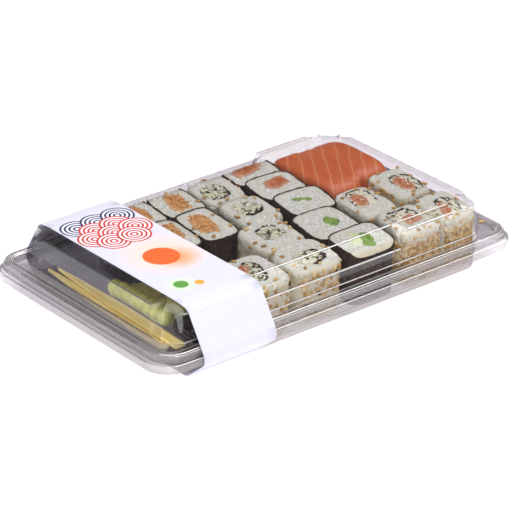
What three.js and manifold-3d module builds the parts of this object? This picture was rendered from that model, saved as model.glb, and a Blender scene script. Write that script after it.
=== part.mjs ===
// Takeaway sushi tray: a clear tray and lid with a paper band, twenty pieces of sushi and their extras.
// Millimetres, +Z up, X along the tray, the origin under its middle on the surface it stands on.
import * as THREE from 'three';
import { mergeVertices } from 'three/addons/utils/BufferGeometryUtils.js';
import Module from 'manifold-3d';

const wasm = await Module();
wasm.setup();

// Clear sheet that the tray and the lid are formed from, and the gap between pieces that touch
const SHEET = 0.6;
const GAP = 0.3;

// Lid: half sizes of the flange, of the dome's foot, shoulder and top, and their heights
const LID_FLANGE = { halfX: 120, halfY: 75.2, corner: 13 };
const LID_FOOT = { halfX: 109, halfY: 65.3, corner: 8.5 };
const LID_SHOULDER = { halfX: 107.4, halfY: 64.2, corner: 8 };
const LID_TOP = { halfX: 99.5, halfY: 56, corner: 7.5 };
const FLANGE_Z = 21.5;
const TOP_Z = 40;

// Lid's flange: how far in from its rim the raised bead's edges lie, and the skirt below the rim
const BEAD_EDGES = [1, 4, 5];
const BEAD_RISE = 0.8;
const SKIRT_Z = 17.8;
const SKIRT_FLARE = 0.3;

// Shoulder heights: high pads on the sides and ends, lower corners, and a deep bevel at the waist
const PAD_Z = 38.9;
const CORNER_Z = 37.2;
const WAIST_Z = 28.8;
const WAIST_X = [47, 51];
const PAD_END_X = [87.5, 91];
const PAD_END_Y = [47.5, 50.5];

// Tray: the flange with its turned-down lip, the deep well for the sushi and the raised shelf beside it
const TRAY_FLANGE = { halfX: 123.2, halfY: 77.6, corner: 15 };
const TRAY_RIM = { halfX: 108.4, halfY: 64.8, corner: 10 };
const TRAY_BOTTOM = { halfX: 106.2, halfY: 63, corner: 9 };
const TRAY_FLANGE_Z = 17.5;
const LIP_Z = 13.2;
const LIP_SLOPE = 0.4;
const SHELF_Z = 12;
const SHELF_END_X = -59.6;

// Paper band: its place along the tray, its thickness and the channel under the well that it lies in
const BAND_X = [-97.2, -50.2];
const BAND_THICK = 0.4;
const BAND_CLEAR = 0.35;
const CHANNEL_END_X = -49.2;
const CHANNEL_Z = 1;

// Sushi: the heights that the pieces stand between, how square their outlines are and the waves in them
const FOOD_Z = 1.9;
const FOOD_TOP_Z = 34.2;
const SQUARENESS = { roll: 5, nigiri: 5, sachet: 5 };
const WAVES = { twice: 0.01, thrice: 0.008 };

// Rice and sesame: a grain's bump, a seed's half sizes, and where seeds lie on the top and the front
const GRAIN = 0.45;
const SEED_SIZE = { long: 1.75, wide: 1.05, thick: 0.75 };
const SEED_RIM = [0.6, 0.84];
const SEED_REACH = 0.66;
const SEED_FRONT_Z = [FOOD_Z + 9, FOOD_TOP_Z - 3];
const GOLDEN = 0.618;
const PRESS_CLEAR = 0.6;

// Rolls with the seaweed outside, then rolls with the rice outside: centre, half sizes, turn and seeds
const MAKI = [
  { name: 'maki_orange_1', x: -44, y: 46.4, halfX: 11.4, halfY: 13, topSeeds: 4 },
  { name: 'maki_orange_2', x: -19.2, y: 45.8, halfX: 12.4, halfY: 13.2, topSeeds: 5 },
  { name: 'maki_orange_3', x: -45.8, y: 16.2, halfX: 11.2, halfY: 14.8, topSeeds: 4 },
  { name: 'maki_orange_4', x: -22.2, y: 15, halfX: 11.2, halfY: 16, topSeeds: 4 },
  { name: 'maki_salmon_1', x: 38.2, y: 52, halfX: 15.3, halfY: 9.3, turn: 3 },
  { name: 'maki_salmon_2', x: 38, y: 29.4, halfX: 14.8, halfY: 11.7, turn: -2 },
  { name: 'maki_cucumber_1', x: 37.9, y: 4.6, halfX: 14.9, halfY: 11.8, turn: -3, topSeeds: 1 },
  { name: 'maki_cucumber_2', x: 28.6, y: -24.4, halfX: 15, halfY: 14.2, topSeeds: 3 },
  { name: 'maki_cucumber_3', x: 31.2, y: -50.4, halfX: 15.8, halfY: 11.4 },
];
const INSIDE_OUT = [
  { name: 'roll_cheese_1', x: 8.7, y: 45.8, halfX: 12.8, halfY: 13.4, topSeeds: 4 },
  { name: 'roll_cheese_2', x: 7.3, y: 13.2, halfX: 13.4, halfY: 14.6, topSeeds: 8 },
  { name: 'roll_cheese_3', x: -3.4, y: -16.6, halfX: 15, halfY: 14.2, topSeeds: 8 },
  { name: 'roll_cheese_4', x: -4.8, y: -47, halfX: 15.8, halfY: 14, topSeeds: 4, frontSeeds: 12 },
  { name: 'roll_salmon_1', x: -39.4, y: -45, halfX: 15.8, halfY: 16, topSeeds: 3, frontSeeds: 10 },
  { name: 'roll_salmon_2', x: 63, y: -17, halfX: 12.2, halfY: 15.2, topSeeds: 3 },
  { name: 'roll_salmon_3', x: 66.4, y: -48.6, halfX: 13.8, halfY: 13.2, topSeeds: 3, frontSeeds: 16 },
  { name: 'roll_salmon_4', x: 93.2, y: -10.6, halfX: 12.1, halfY: 15.2, topSeeds: 5 },
  { name: 'roll_salmon_5', x: 93.3, y: -47.4, halfX: 12.1, halfY: 13.6, topSeeds: 4, frontSeeds: 14 },
];

// Fish on rice: the heights of the slice's lower edge and top, then each piece's centre and half sizes
const SLICE_Z = 17.8;
const SLICE_TOP_Z = 37.3;
const NIGIRI = [
  { name: 'nigiri_1', x: 67.6, y: 30.4, halfX: 12.6, halfY: 30.2 },
  { name: 'nigiri_2', x: 93.1, y: 33.4, halfX: 12, halfY: 27.4 },
];

// Extras on the shelf: two sachets and two wooden picks, each from its point to its blunt end
const SACHETS = [
  { name: 'ginger_sachet', x: -79, y: -9.5, halfX: 12, halfY: 27, height: 12.6, colour: 0xb9bb86 },
  { name: 'soy_sachet', x: -77.5, y: -48.6, halfX: 12, halfY: 11.2, height: 12, colour: 0x1c1716 },
];
const PICK = { halfWidth: 3.3, halfTip: 0.3, thick: 1.8, taper: 48 };
const PICKS = [
  { name: 'pick_1', tip: [-95.5, 59.5], blunt: [-101, -50], layer: 0 },
  { name: 'pick_2', tip: [-93.5, 53], blunt: [-96.3, -57], layer: 1 },
];

// A repeatable source of numbers between 0 and 1
function randomSource(seed) {
  let state = seed;
  return () => {
    state = (Math.imul(state, 1664525) + 1013904223) >>> 0;
    return state / 4294967296;
  };
}

// A closed solid through loops of equal point counts, listed so that the first is closed towards -Z
function loftGeometry(loops) {
  const count = loops[0].length;
  const positions = loops.flat().flatMap((point) => [point.x, point.y, point.z]);
  const indices = [];
  for (let ring = 0; ring < loops.length - 1; ring += 1) {
    const low = ring * count;
    const high = low + count;
    for (let i = 0; i < count; i += 1) {
      const next = (i + 1) % count;
      indices.push(low + i, low + next, high + next);
      indices.push(low + i, high + next, high + i);
    }
  }
  const closeEnd = (ring, upward) => {
    const centre = new THREE.Vector3();
    loops[ring].forEach((point) => centre.addScaledVector(point, 1 / count));
    const middle = positions.length / 3;
    positions.push(centre.x, centre.y, centre.z);
    for (let i = 0; i < count; i += 1) {
      const edge = [ring * count + i, ring * count + (i + 1) % count];
      indices.push(middle, ...(upward ? edge : edge.toReversed()));
    }
  };
  closeEnd(0, false);
  closeEnd(loops.length - 1, true);
  const geometry = new THREE.BufferGeometry();
  geometry.setAttribute('position', new THREE.Float32BufferAttribute(positions, 3));
  geometry.setIndex(indices);
  return geometry;
}

// Conversions between a surface of triangles and a solid that can be joined and cut
function toSolid(geometry) {
  const bare = geometry.clone();
  bare.deleteAttribute('normal');
  bare.deleteAttribute('uv');
  const merged = mergeVertices(bare, 1e-4);
  return new wasm.Manifold(new wasm.Mesh({
    numProp: 3,
    vertProperties: new Float32Array(merged.attributes.position.array),
    triVerts: new Uint32Array(merged.index.array),
  }));
}

function toGeometry(solid) {
  const mesh = solid.getMesh();
  const geometry = new THREE.BufferGeometry();
  geometry.setAttribute('position', new THREE.Float32BufferAttribute(mesh.vertProperties, 3));
  geometry.setIndex(Array.from(mesh.triVerts));
  return geometry;
}

// One loop round the pack at a height: rounded or cut corners, with points where the lid's zones end
function packLoop({ halfX, halfY, corner }, heightAt, { bulge = 1, inset = 0, steps = 4 } = {}) {
  const x = halfX - inset;
  const y = halfY - inset;
  const tightening = 0.6;
  const spacing = 0.5;
  const cut = Math.max(corner - inset * tightening, 1);
  const alongX = [...WAIST_X, ...PAD_END_X].map((end, i) => Math.min(end, x - cut - spacing * (4 - i)));
  const alongY = PAD_END_Y.map((end, i) => Math.min(end, y - cut - spacing * (2 - i)));
  const quarter = [];
  for (let i = 0; i <= steps; i += 1) {
    const share = i / steps;
    const angle = share * Math.PI / 2;
    const arc = new THREE.Vector2(x - cut + cut * Math.cos(angle), y - cut + cut * Math.sin(angle));
    const chord = new THREE.Vector2(x - cut * share, y - cut + cut * share);
    quarter.push(chord.lerp(arc, bulge));
  }
  const side = [
    ...alongY.map((end) => new THREE.Vector2(x, end)),
    ...quarter,
    ...alongX.toReversed().map((end) => new THREE.Vector2(end, y)),
  ];
  const mirrored = (signX, signY) => {
    const points = side.map((point) => new THREE.Vector2(point.x * signX, point.y * signY));
    return signX * signY > 0 ? points : points.toReversed();
  };
  const plan = [...mirrored(1, 1), ...mirrored(-1, 1), ...mirrored(-1, -1), ...mirrored(1, -1)];
  return plan.map((point) => new THREE.Vector3(point.x, point.y, heightAt(point.x, point.y)));
}

// The same height at every point of a loop
function flat(z) {
  return () => z;
}

// Height of the lid's shoulder above a point of its loop
function shoulderHeight(x, y) {
  const onLongSide = Math.abs(y) > LID_SHOULDER.halfY - 1;
  if (onLongSide) {
    const along = Math.abs(x);
    if (along <= WAIST_X[0]) return WAIST_Z;
    return along <= PAD_END_X[0] ? PAD_Z : CORNER_Z;
  }
  return Math.abs(y) <= PAD_END_Y[0] ? PAD_Z : CORNER_Z;
}

// The lid's surface from the rim of its skirt to its top, moved in and down by a sheet for the inside
function lidLoops(sheet) {
  const grown = (size, by) => ({ ...size, halfX: size.halfX + by, halfY: size.halfY + by });
  const bead = BEAD_EDGES.map((edge) => grown(LID_FLANGE, -edge));
  const flangeZ = FLANGE_Z - sheet;
  const beadZ = FLANGE_Z + BEAD_RISE - sheet;
  const corner = { foot: 0.25, dome: 0.2 };
  const share = { bead: 0.7, beadInside: -0.4, shoulder: 0.7, top: 0.6 };
  const shoulder = packLoop(LID_SHOULDER, shoulderHeight, { bulge: corner.dome });
  const shoulderPlan = packLoop(LID_SHOULDER, flat(0), { bulge: corner.dome, inset: sheet });
  return [
    packLoop(grown(LID_FLANGE, SKIRT_FLARE), flat(SKIRT_Z), { inset: sheet }),
    packLoop(LID_FLANGE, flat(flangeZ), { inset: sheet }),
    packLoop(bead[0], flat(beadZ), { inset: sheet * share.bead }),
    packLoop(bead[1], flat(beadZ), { inset: sheet * share.beadInside }),
    packLoop(bead[2], flat(flangeZ), { inset: sheet * share.beadInside }),
    packLoop(LID_FOOT, flat(flangeZ), { bulge: corner.foot, inset: sheet }),
    shoulderPlan.map((point, i) => point.setZ(shoulder[i].z - sheet * share.shoulder)),
    packLoop(LID_TOP, flat(TOP_Z - sheet), { bulge: corner.dome, inset: sheet * share.top }),
  ];
}

function makeLid() {
  return loftGeometry([...lidLoops(SHEET).toReversed(), ...lidLoops(0)]);
}

// A block that stands on the z = low plane, from one rounded outline to another
function packBlock(bottom, top, low, high, inset) {
  return loftGeometry([packLoop(bottom, flat(low), { inset }), packLoop(top, flat(high), { inset })]);
}

function boxSolid(x, y, z) {
  const box = new THREE.BoxGeometry(x[1] - x[0], y[1] - y[0], z[1] - z[0]);
  box.translate((x[0] + x[1]) / 2, (y[0] + y[1]) / 2, (z[0] + z[1]) / 2);
  return toSolid(box);
}

// The tray: body and flange with the food's space cut out, the shelf left standing at one end
function makeTray() {
  const far = 200;
  const body = toSolid(packBlock(TRAY_BOTTOM, TRAY_RIM, 0, TRAY_FLANGE_Z, 0));
  const shelfBelow = boxSolid([-far, SHELF_END_X], [-far, far], [-1, SHELF_Z - SHEET]);
  const inside = toSolid(packBlock(TRAY_BOTTOM, TRAY_RIM, SHEET, TRAY_FLANGE_Z + SHEET, SHEET));
  const shelf = boxSolid([-far, SHELF_END_X + SHEET], [-far, far], [-1, SHELF_Z]);
  const lipTop = { ...TRAY_FLANGE, halfX: TRAY_FLANGE.halfX - LIP_SLOPE };
  const lipOuter = packBlock(TRAY_FLANGE, lipTop, LIP_Z, TRAY_FLANGE_Z, 0);
  const lipInner = packBlock(TRAY_FLANGE, TRAY_FLANGE, LIP_Z - 1, TRAY_FLANGE_Z - SHEET, SHEET);
  const flange = toSolid(lipOuter).subtract(toSolid(lipInner));
  const step = boxSolid([SHELF_END_X, CHANNEL_END_X + SHEET], [-far, far], [0, CHANNEL_Z + SHEET]);
  const channel = boxSolid([SHELF_END_X - 1, CHANNEL_END_X], [-far, far], [-1, CHANNEL_Z]);
  const hollow = inside.subtract(shelf).subtract(step);
  return toGeometry(body.subtract(shelfBelow).add(flange).subtract(hollow).subtract(channel));
}

// The band's section across the tray, drawn tight over the lid's top, shoulders, both rims and the well
function bandOutline(clear) {
  const half = [
    [LID_TOP.halfY, TOP_Z],
    [LID_SHOULDER.halfY, PAD_Z],
    [LID_FLANGE.halfY - SKIRT_FLARE, FLANGE_Z + BEAD_RISE / 2],
    [TRAY_FLANGE.halfY, TRAY_FLANGE_Z],
    [TRAY_FLANGE.halfY, LIP_Z],
    [TRAY_BOTTOM.halfY, CHANNEL_Z],
  ].map(([y, z]) => new THREE.Vector2(y, z));
  const corners = [...half, ...half.toReversed().map((point) => new THREE.Vector2(-point.x, point.y))];
  return corners.map((point, i) => {
    const before = corners.at(i - 1);
    const after = corners[(i + 1) % corners.length];
    const first = point.clone().sub(before).normalize();
    const second = after.clone().sub(point).normalize();
    const normals = [first, second].map((edge) => new THREE.Vector2(-edge.y, edge.x));
    const miter = normals[0].clone().add(normals[1]).normalize();
    return point.clone().addScaledVector(miter, clear / miter.dot(normals[0]));
  });
}

function makeBand() {
  const section = new THREE.Shape(bandOutline(BAND_CLEAR + BAND_THICK));
  section.holes.push(new THREE.Path(bandOutline(BAND_CLEAR).toReversed()));
  const depth = BAND_X[1] - BAND_X[0];
  const geometry = new THREE.ExtrudeGeometry(section, { depth, bevelEnabled: false });
  const axes = [[0, 1, 0], [0, 0, 1], [1, 0, 0]].map((axis) => new THREE.Vector3(...axis));
  geometry.applyMatrix4(new THREE.Matrix4().makeBasis(...axes));
  return geometry.translate(BAND_X[0], 0, 0);
}

// The soft square outline of a piece of food, from the middle out, with slow waves in it
function softOutline({ halfX, halfY }, power, count, random) {
  const phases = [random(), random()].map((value) => value * Math.PI * 2);
  return Array.from({ length: count }, (_, i) => {
    const angle = (i / count) * Math.PI * 2;
    const across = Math.abs(Math.cos(angle) / halfX) ** power;
    const along = Math.abs(Math.sin(angle) / halfY) ** power;
    const twice = WAVES.twice * (Math.sin(2 * angle + phases[0]) - 1);
    const thrice = WAVES.thrice * (Math.sin(3 * angle + phases[1]) - 1);
    const reach = (1 + twice + thrice) * (across + along) ** (-1 / power);
    return new THREE.Vector2(reach * Math.cos(angle), reach * Math.sin(angle));
  });
}

// Loops of an outline at stated heights and shares of its size, with bumps the size of rice grains
function foodLoops(outline, heights, random) {
  const inward = 0.8;
  const topShare = 0.9;
  return heights.map(([z, share, bump]) => outline.map((point) => {
    const swell = 1 + (bump * (random() - inward)) / point.length();
    const rise = share < topShare ? bump * (random() - inward) : 0;
    return new THREE.Vector3(point.x * share * swell, point.y * share * swell, z + rise);
  }));
}

// A sesame seed pressed half into a surface, lying across its normal
function seedGeometry(spot, normal, random) {
  const seed = new THREE.IcosahedronGeometry(1, 0);
  seed.scale(SEED_SIZE.long, SEED_SIZE.wide, SEED_SIZE.thick);
  seed.rotateZ(random() * Math.PI);
  seed.applyQuaternion(new THREE.Quaternion().setFromUnitVectors(new THREE.Vector3(0, 0, 1), normal));
  return seed.translate(spot.x, spot.y, spot.z);
}

// Seeds round the rim of the top, evenly by angle, and spread over the side that faces the front
function withSeeds(geometry, outline, { topSeeds = 0, frontSeeds = 0, halfX, halfY }, random) {
  const start = random();
  const spread = (range, i) => THREE.MathUtils.lerp(range[0], range[1], (start + i * GOLDEN) % 1);
  const up = new THREE.Vector3(0, 0, 1);
  const front = new THREE.Vector3(0, -1, 0);
  const frontPoints = outline.filter((point) => point.y < -halfY / 2);
  const seeds = [];
  for (let i = 0; i < topSeeds; i += 1) {
    const share = THREE.MathUtils.lerp(SEED_RIM[0], SEED_RIM[1], random());
    const rim = outline[Math.floor(spread([0, outline.length], i))].clone().multiplyScalar(share);
    seeds.push(seedGeometry(new THREE.Vector3(rim.x, rim.y, FOOD_TOP_Z), up, random));
  }
  for (let i = 0; i < frontSeeds; i += 1) {
    const across = SEED_REACH * halfX * (2 * (i + 0.5) / frontSeeds - 1);
    const offset = (point) => Math.abs(point.x - across);
    const nearest = frontPoints.reduce((best, point) => (offset(point) < offset(best) ? point : best));
    const spot = new THREE.Vector3(across, nearest.y + SEED_SIZE.thick / 3, spread(SEED_FRONT_Z, i));
    seeds.push(seedGeometry(spot, front, random));
  }
  return wasm.Manifold.union([geometry, ...seeds].map(toSolid));
}

// Presses the rim of a roll down where it stands under the lid's low slanted side
function pressedByLid(solid, { x, y }) {
  if (Math.abs(x) > WAIST_X[1]) return solid;
  const slope = new THREE.Vector2(TOP_Z - WAIST_Z, LID_SHOULDER.halfY - LID_TOP.halfY).normalize();
  const reach = slope.x * (LID_TOP.halfY - Math.abs(y)) + slope.y * TOP_Z - SHEET - PRESS_CLEAR;
  return solid.trimByPlane([0, -Math.sign(y) * slope.x, -slope.y], -reach);
}

// A cut piece of roll standing on end: seaweed outside gives a plain side, rice outside a bumpy one
function makeRoll(piece, index, riceOutside) {
  const random = randomSource(1000 + 37 * index);
  const outline = softOutline(piece, SQUARENESS.roll, riceOutside ? 24 : 22, random);
  const side = riceOutside ? GRAIN : 0;
  const middle = (FOOD_Z + FOOD_TOP_Z) / 2;
  const heights = [
    [FOOD_Z, 0.93, 0],
    [FOOD_Z + 2, 1, side],
    ...(riceOutside ? [[middle, 1, side]] : []),
    [FOOD_TOP_Z - 1.8, 1, side],
    [FOOD_TOP_Z - 0.3, 0.92, 0],
    [FOOD_TOP_Z, 0.55, GRAIN],
  ];
  const roll = withSeeds(loftGeometry(foodLoops(outline, heights, random)), outline, piece, random);
  return toGeometry(pressedByLid(roll, piece));
}

// A rice pad with a slice of fish laid over it, one piece of food
function makeNigiri(piece, index) {
  const random = randomSource(5000 + 37 * index);
  const outline = softOutline(piece, SQUARENESS.nigiri, 26, random);
  return loftGeometry(foodLoops(outline, [
    [FOOD_Z, 0.82, 0],
    [FOOD_Z + 3, 0.91, GRAIN],
    [SLICE_Z - 4, 0.91, GRAIN],
    [SLICE_Z - 0.8, 0.9, GRAIN],
    [SLICE_Z, 1, 0],
    [SLICE_TOP_Z - 9, 1, 0],
    [SLICE_TOP_Z - 4, 0.99, 0],
    [SLICE_TOP_Z - 1.6, 0.95, 0],
    [SLICE_TOP_Z - 0.5, 0.84, 0],
    [SLICE_TOP_Z, 0.5, 0],
  ], random));
}

// A filled sachet lying on the shelf, thin at the sealed edge and thick in the middle
function makeSachet(piece, index) {
  const random = randomSource(7000 + 37 * index);
  const outline = softOutline(piece, SQUARENESS.sachet, 26, random);
  const low = SHELF_Z + GAP;
  return loftGeometry(foodLoops(outline, [
    [low, 0.6, 0],
    [low + 0.18 * piece.height, 0.88, 0],
    [low + 0.38 * piece.height, 0.985, 0],
    [low + 0.46 * piece.height, 0.985, 0],
    [low + 0.76 * piece.height, 0.87, 0.5],
    [low + 0.97 * piece.height, 0.5, 0.5],
  ], random));
}

// A flat wooden pick lying from its point to its round blunt end
function makePick({ tip, blunt, layer }) {
  const along = new THREE.Vector2(blunt[0] - tip[0], blunt[1] - tip[1]);
  const length = along.length();
  const shape = new THREE.Shape();
  shape.moveTo(0, -PICK.halfTip);
  shape.lineTo(PICK.taper, -PICK.halfWidth);
  shape.lineTo(length - PICK.halfWidth, -PICK.halfWidth);
  shape.absarc(length - PICK.halfWidth, 0, PICK.halfWidth, -Math.PI / 2, Math.PI / 2, false);
  shape.lineTo(PICK.taper, PICK.halfWidth);
  shape.lineTo(0, PICK.halfTip);
  const geometry = new THREE.ExtrudeGeometry(shape,
    { depth: PICK.thick, bevelEnabled: false, curveSegments: 8 });
  geometry.rotateZ(along.angle());
  return geometry.translate(tip[0], tip[1], SHELF_Z + GAP + layer * (PICK.thick + GAP));
}

const clearPlastic = new THREE.MeshStandardMaterial({ color: 0xd9d4dc, roughness: 0.1, metalness: 0 });
const paper = new THREE.MeshStandardMaterial({ color: 0xf0eefc, roughness: 0.6, metalness: 0 });
const seaweed = new THREE.MeshStandardMaterial({ color: 0x2a2225, roughness: 0.5, metalness: 0 });
const rice = new THREE.MeshStandardMaterial({ color: 0xdcdad2, roughness: 0.5, metalness: 0 });
const salmon = new THREE.MeshStandardMaterial({ color: 0xcc6238, roughness: 0.35, metalness: 0 });
const wood = new THREE.MeshStandardMaterial({ color: 0xd8b860, roughness: 0.6, metalness: 0 });

const tray = new THREE.Group();

// Each piece is a mesh of its own in the group, moved to its place and turned about the vertical
function place(name, geometry, material, { x = 0, y = 0, turn = 0 } = {}) {
  const mesh = new THREE.Mesh(geometry, material);
  mesh.name = name;
  mesh.position.set(x, y, 0);
  mesh.rotation.z = THREE.MathUtils.degToRad(turn);
  tray.add(mesh);
}

place('tray_base', makeTray(), clearPlastic);
place('lid', makeLid(), clearPlastic);
place('paper_band', makeBand(), paper);
MAKI.forEach((piece, i) => place(piece.name, makeRoll(piece, i, false), seaweed, piece));
INSIDE_OUT.forEach((piece, i) => place(piece.name, makeRoll(piece, 50 + i, true), rice, piece));
NIGIRI.forEach((piece, i) => place(piece.name, makeNigiri(piece, i), salmon, piece));
SACHETS.forEach((piece, i) => {
  const film = new THREE.MeshStandardMaterial({ color: piece.colour, roughness: 0.25, metalness: 0 });
  place(piece.name, makeSachet(piece, i), film, { x: piece.x, y: piece.y });
});
PICKS.forEach((pick) => place(pick.name, makePick(pick), wood));

export default tray;
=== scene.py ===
# %% [markdown]
# # Takeaway sushi tray
# The imported part is loaded first: a shut clear pack with its paper band, twenty pieces of
# sushi, two sachets and two picks. Its box is kept. Everything below is drawn in millimetres
# and scaled to metres.

# %% Load the imported tray
import math
import random

import bmesh
import bpy
from mathutils import Matrix, Vector, noise


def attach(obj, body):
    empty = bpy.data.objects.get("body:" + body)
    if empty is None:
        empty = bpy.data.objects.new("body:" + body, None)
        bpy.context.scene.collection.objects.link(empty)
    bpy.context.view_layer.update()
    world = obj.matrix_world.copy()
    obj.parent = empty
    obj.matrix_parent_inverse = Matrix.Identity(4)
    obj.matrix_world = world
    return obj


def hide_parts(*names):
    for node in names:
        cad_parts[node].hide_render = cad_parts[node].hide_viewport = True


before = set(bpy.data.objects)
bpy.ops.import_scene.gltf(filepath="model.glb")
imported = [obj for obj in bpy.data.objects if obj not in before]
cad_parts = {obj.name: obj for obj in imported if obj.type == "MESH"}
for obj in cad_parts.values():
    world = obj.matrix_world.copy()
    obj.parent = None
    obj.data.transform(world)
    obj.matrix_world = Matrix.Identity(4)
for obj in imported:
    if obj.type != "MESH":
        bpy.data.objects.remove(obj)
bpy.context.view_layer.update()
MM = 0.001

# %% [markdown]
# ## Working helpers
# Colours are written as the sRGB values read off the photograph and turned into
# the linear numbers a shader needs. One function adds a shader node with its settings and
# links, and one turns a finished bmesh into a piece that rides on the tray's single body.

# %% Colours, nodes and pieces
def linear(hex_colour):
    """An sRGB hex colour as linear RGBA."""
    parts = [int(hex_colour[i:i + 2], 16) / 255 for i in (1, 3, 5)]
    return tuple(c / 12.92 if c <= 0.04045 else ((c + 0.055) / 1.055) ** 2.4 for c in parts) + (1.0,)


def add_node(material, kind, inputs=None, stops=None, **settings):
    """Adds one shader node. Inputs are values or sockets to link, stops the colours of a ramp."""
    made = material.node_tree.nodes.new("ShaderNode" + kind)
    for name, value in settings.items():
        setattr(made, name, value)
    for name, value in (inputs or {}).items():
        if isinstance(value, bpy.types.NodeSocket):
            material.node_tree.links.new(value, made.inputs[name])
        else:
            made.inputs[name].default_value = value
    for index, (place, colour) in enumerate(stops or []):
        ramp = made.color_ramp.elements
        stop = ramp[index] if index < 2 else ramp.new(place)
        stop.position, stop.color = place, linear(colour)
    return made


def new_material(name):
    """An empty node material."""
    material = bpy.data.materials.new(name)
    material.use_nodes = True
    material.node_tree.nodes.clear()
    return material


def close_material(material, shader):
    """Links the last shader to the material's output."""
    add_node(material, "OutputMaterial", {"Surface": shader.outputs[0]})
    return material


def make_piece(name, mesh_source, materials, nodes, smooth=True):
    """Turns a bmesh in mm into an object on the root body that stands in for CAD nodes."""
    bmesh.ops.scale(mesh_source, vec=(MM, MM, MM), verts=mesh_source.verts)
    for face in mesh_source.faces:
        face.smooth = smooth
    mesh = bpy.data.meshes.new(name)
    mesh_source.to_mesh(mesh)
    mesh_source.free()
    for material in materials:
        mesh.materials.append(material)
    piece = bpy.data.objects.new(name, mesh)
    bpy.context.scene.collection.objects.link(piece)
    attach(piece, "root")
    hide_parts(*nodes)
    return piece


print("helpers ready")

# %% [markdown]
# Most pieces here are skins stretched over a stack of closed rings, like a loaf described by
# its slices. The first ring is a circle moved into place and every following ring is
# extruded from the one before, so the seams are welded and each band of faces can take its
# own material.

# %% Skins over rings
def ring_skin(bm, rings, bands=None, cap_start=0, cap_end=0):
    """Stretches a skin over rings. Bands give each step's material; a cap of None stays open."""
    count = len(rings[0])
    verts = bmesh.ops.create_circle(bm, segments=count, radius=1, cap_ends=False)["verts"]
    for vert, place in zip(verts, rings[0]):
        vert.co = place
    first = verts
    made = []
    for step, ring in enumerate(rings[1:]):
        order = {vert: i for i, vert in enumerate(verts)}
        edges = [bm.edges.get((verts[i], verts[(i + 1) % count])) for i in range(count)]
        grown = bmesh.ops.extrude_edge_only(bm, edges=edges)["geom"]
        following = [None] * count
        for item in grown:
            if isinstance(item, bmesh.types.BMVert):
                below = next(e.other_vert(item) for e in item.link_edges
                             if e.other_vert(item) in order)
                following[order[below]] = item
            elif isinstance(item, bmesh.types.BMFace):
                item.material_index = bands[step] if bands else 0
                made.append(item)
        for vert, place in zip(following, ring):
            vert.co = place
        verts = following
    for cap, loop in ((cap_start, first), (cap_end, verts)):
        if cap is not None:
            face = bm.faces.new(loop)
            face.material_index = cap
            made.append(face)
    bmesh.ops.recalc_face_normals(bm, faces=made)
    return verts


WAVES = (0.01, 0.008)  # depth of the two slow waves in an outline, as in the solids
DRAW_FACTOR, DRAW_STEP, DRAW_SIZE = 1664525, 1013904223, 2 ** 32


def soft_ring(piece, count, power, phases):
    """The uneven outline of a pressed piece of food: a rounded box with slow waves in its reach."""
    points = []
    turn = math.radians(piece.get("turn", 0))
    for i in range(count):
        angle = 2 * math.pi * i / count
        wave = (1 + WAVES[0] * (math.sin(2 * angle + phases[0]) - 1)
                + WAVES[1] * (math.sin(3 * angle + phases[1]) - 1))
        cos, sin = math.cos(angle), math.sin(angle)
        box = abs(cos / piece["half_x"]) ** power + abs(sin / piece["half_y"]) ** power
        reach = wave * box ** (-1 / power)
        along, across = cos * reach, sin * reach
        points.append((piece["x"] + along * math.cos(turn) - across * math.sin(turn),
                       piece["y"] + along * math.sin(turn) + across * math.cos(turn)))
    return points


def source_phases(seed):
    """The first two draws of the part's own random source, so the outlines here repeat the solids'."""
    state = seed % DRAW_SIZE
    phases = []
    for _ in range(2):
        state = (state * DRAW_FACTOR + DRAW_STEP) % DRAW_SIZE
        phases.append(state / DRAW_SIZE * 2 * math.pi)
    return phases


print("phases of the first roll:", [round(p, 3) for p in source_phases(1000)])

# %% [markdown]
# ## Clear plastic
# The lid and the tray are one thermoformed PET sheet, about half a millimetre thick. It is
# see-through, a little grey-violet where the sheet is seen at a slant, and shows itself
# mostly by the sharp reflections along its bends. True glass would need many light bounces,
# so the look is a tinted transparent shader with a trace of white haze, under a mirror layer
# that grows towards grazing angles.

# %% Clear plastic material
def clear_sheet(name, tint, edge_tint, roughness, haze, mirror_front=0.03, mirror_slant=0.45):
    """A clear film: tinted see-through, a mirror coat by angle and a trace of white haze."""
    material = new_material(name)
    facing = add_node(material, "LayerWeight", {"Blend": 0.5}).outputs["Facing"]
    tinted = add_node(material, "Mix", {0: facing, 6: linear(tint), 7: linear(edge_tint)},
                      data_type="RGBA").outputs[2]
    slant = add_node(material, "Math", {0: facing, 1: 5.0}, operation="POWER").outputs[0]
    mirror = add_node(material, "Math", {0: slant, 1: mirror_slant, 2: mirror_front},
                      operation="MULTIPLY_ADD").outputs[0]
    see = add_node(material, "BsdfTransparent", {"Color": tinted})
    cloud = add_node(material, "BsdfDiffuse", {"Color": linear("#f6f4ee")})
    body = add_node(material, "MixShader", {0: haze, 1: see.outputs[0], 2: cloud.outputs[0]})
    gloss = add_node(material, "BsdfGlossy", {"Color": linear("#ffffff"), "Roughness": roughness})
    return close_material(material, add_node(
        material, "MixShader", {0: mirror, 1: body.outputs[0], 2: gloss.outputs[0]}))


# Clear PET gives hardly more than a grey cast where a wall is seen at a slant.
pet = clear_sheet("Clear PET sheet", "#fdfdfd", "#d9d6d9", 0.03, 0.003)
# A bend is tinted dark, a painted shade line along it, and its rougher gloss gives a soft shine.
pet_bend = clear_sheet("Clear PET at a bend, painted dark", "#c8c4ca", "#787480", 0.14, 0.05, 0.16, 0.4)
# The crests of the long sides' bends get a white haze: a painted highlight for the bright lines along the lid.
pet_ridge = clear_sheet("Painted highlight on a bend", "#fbf8f0", "#f0ece2", 0.25, 0.62, 0.1, 0.3)
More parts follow.
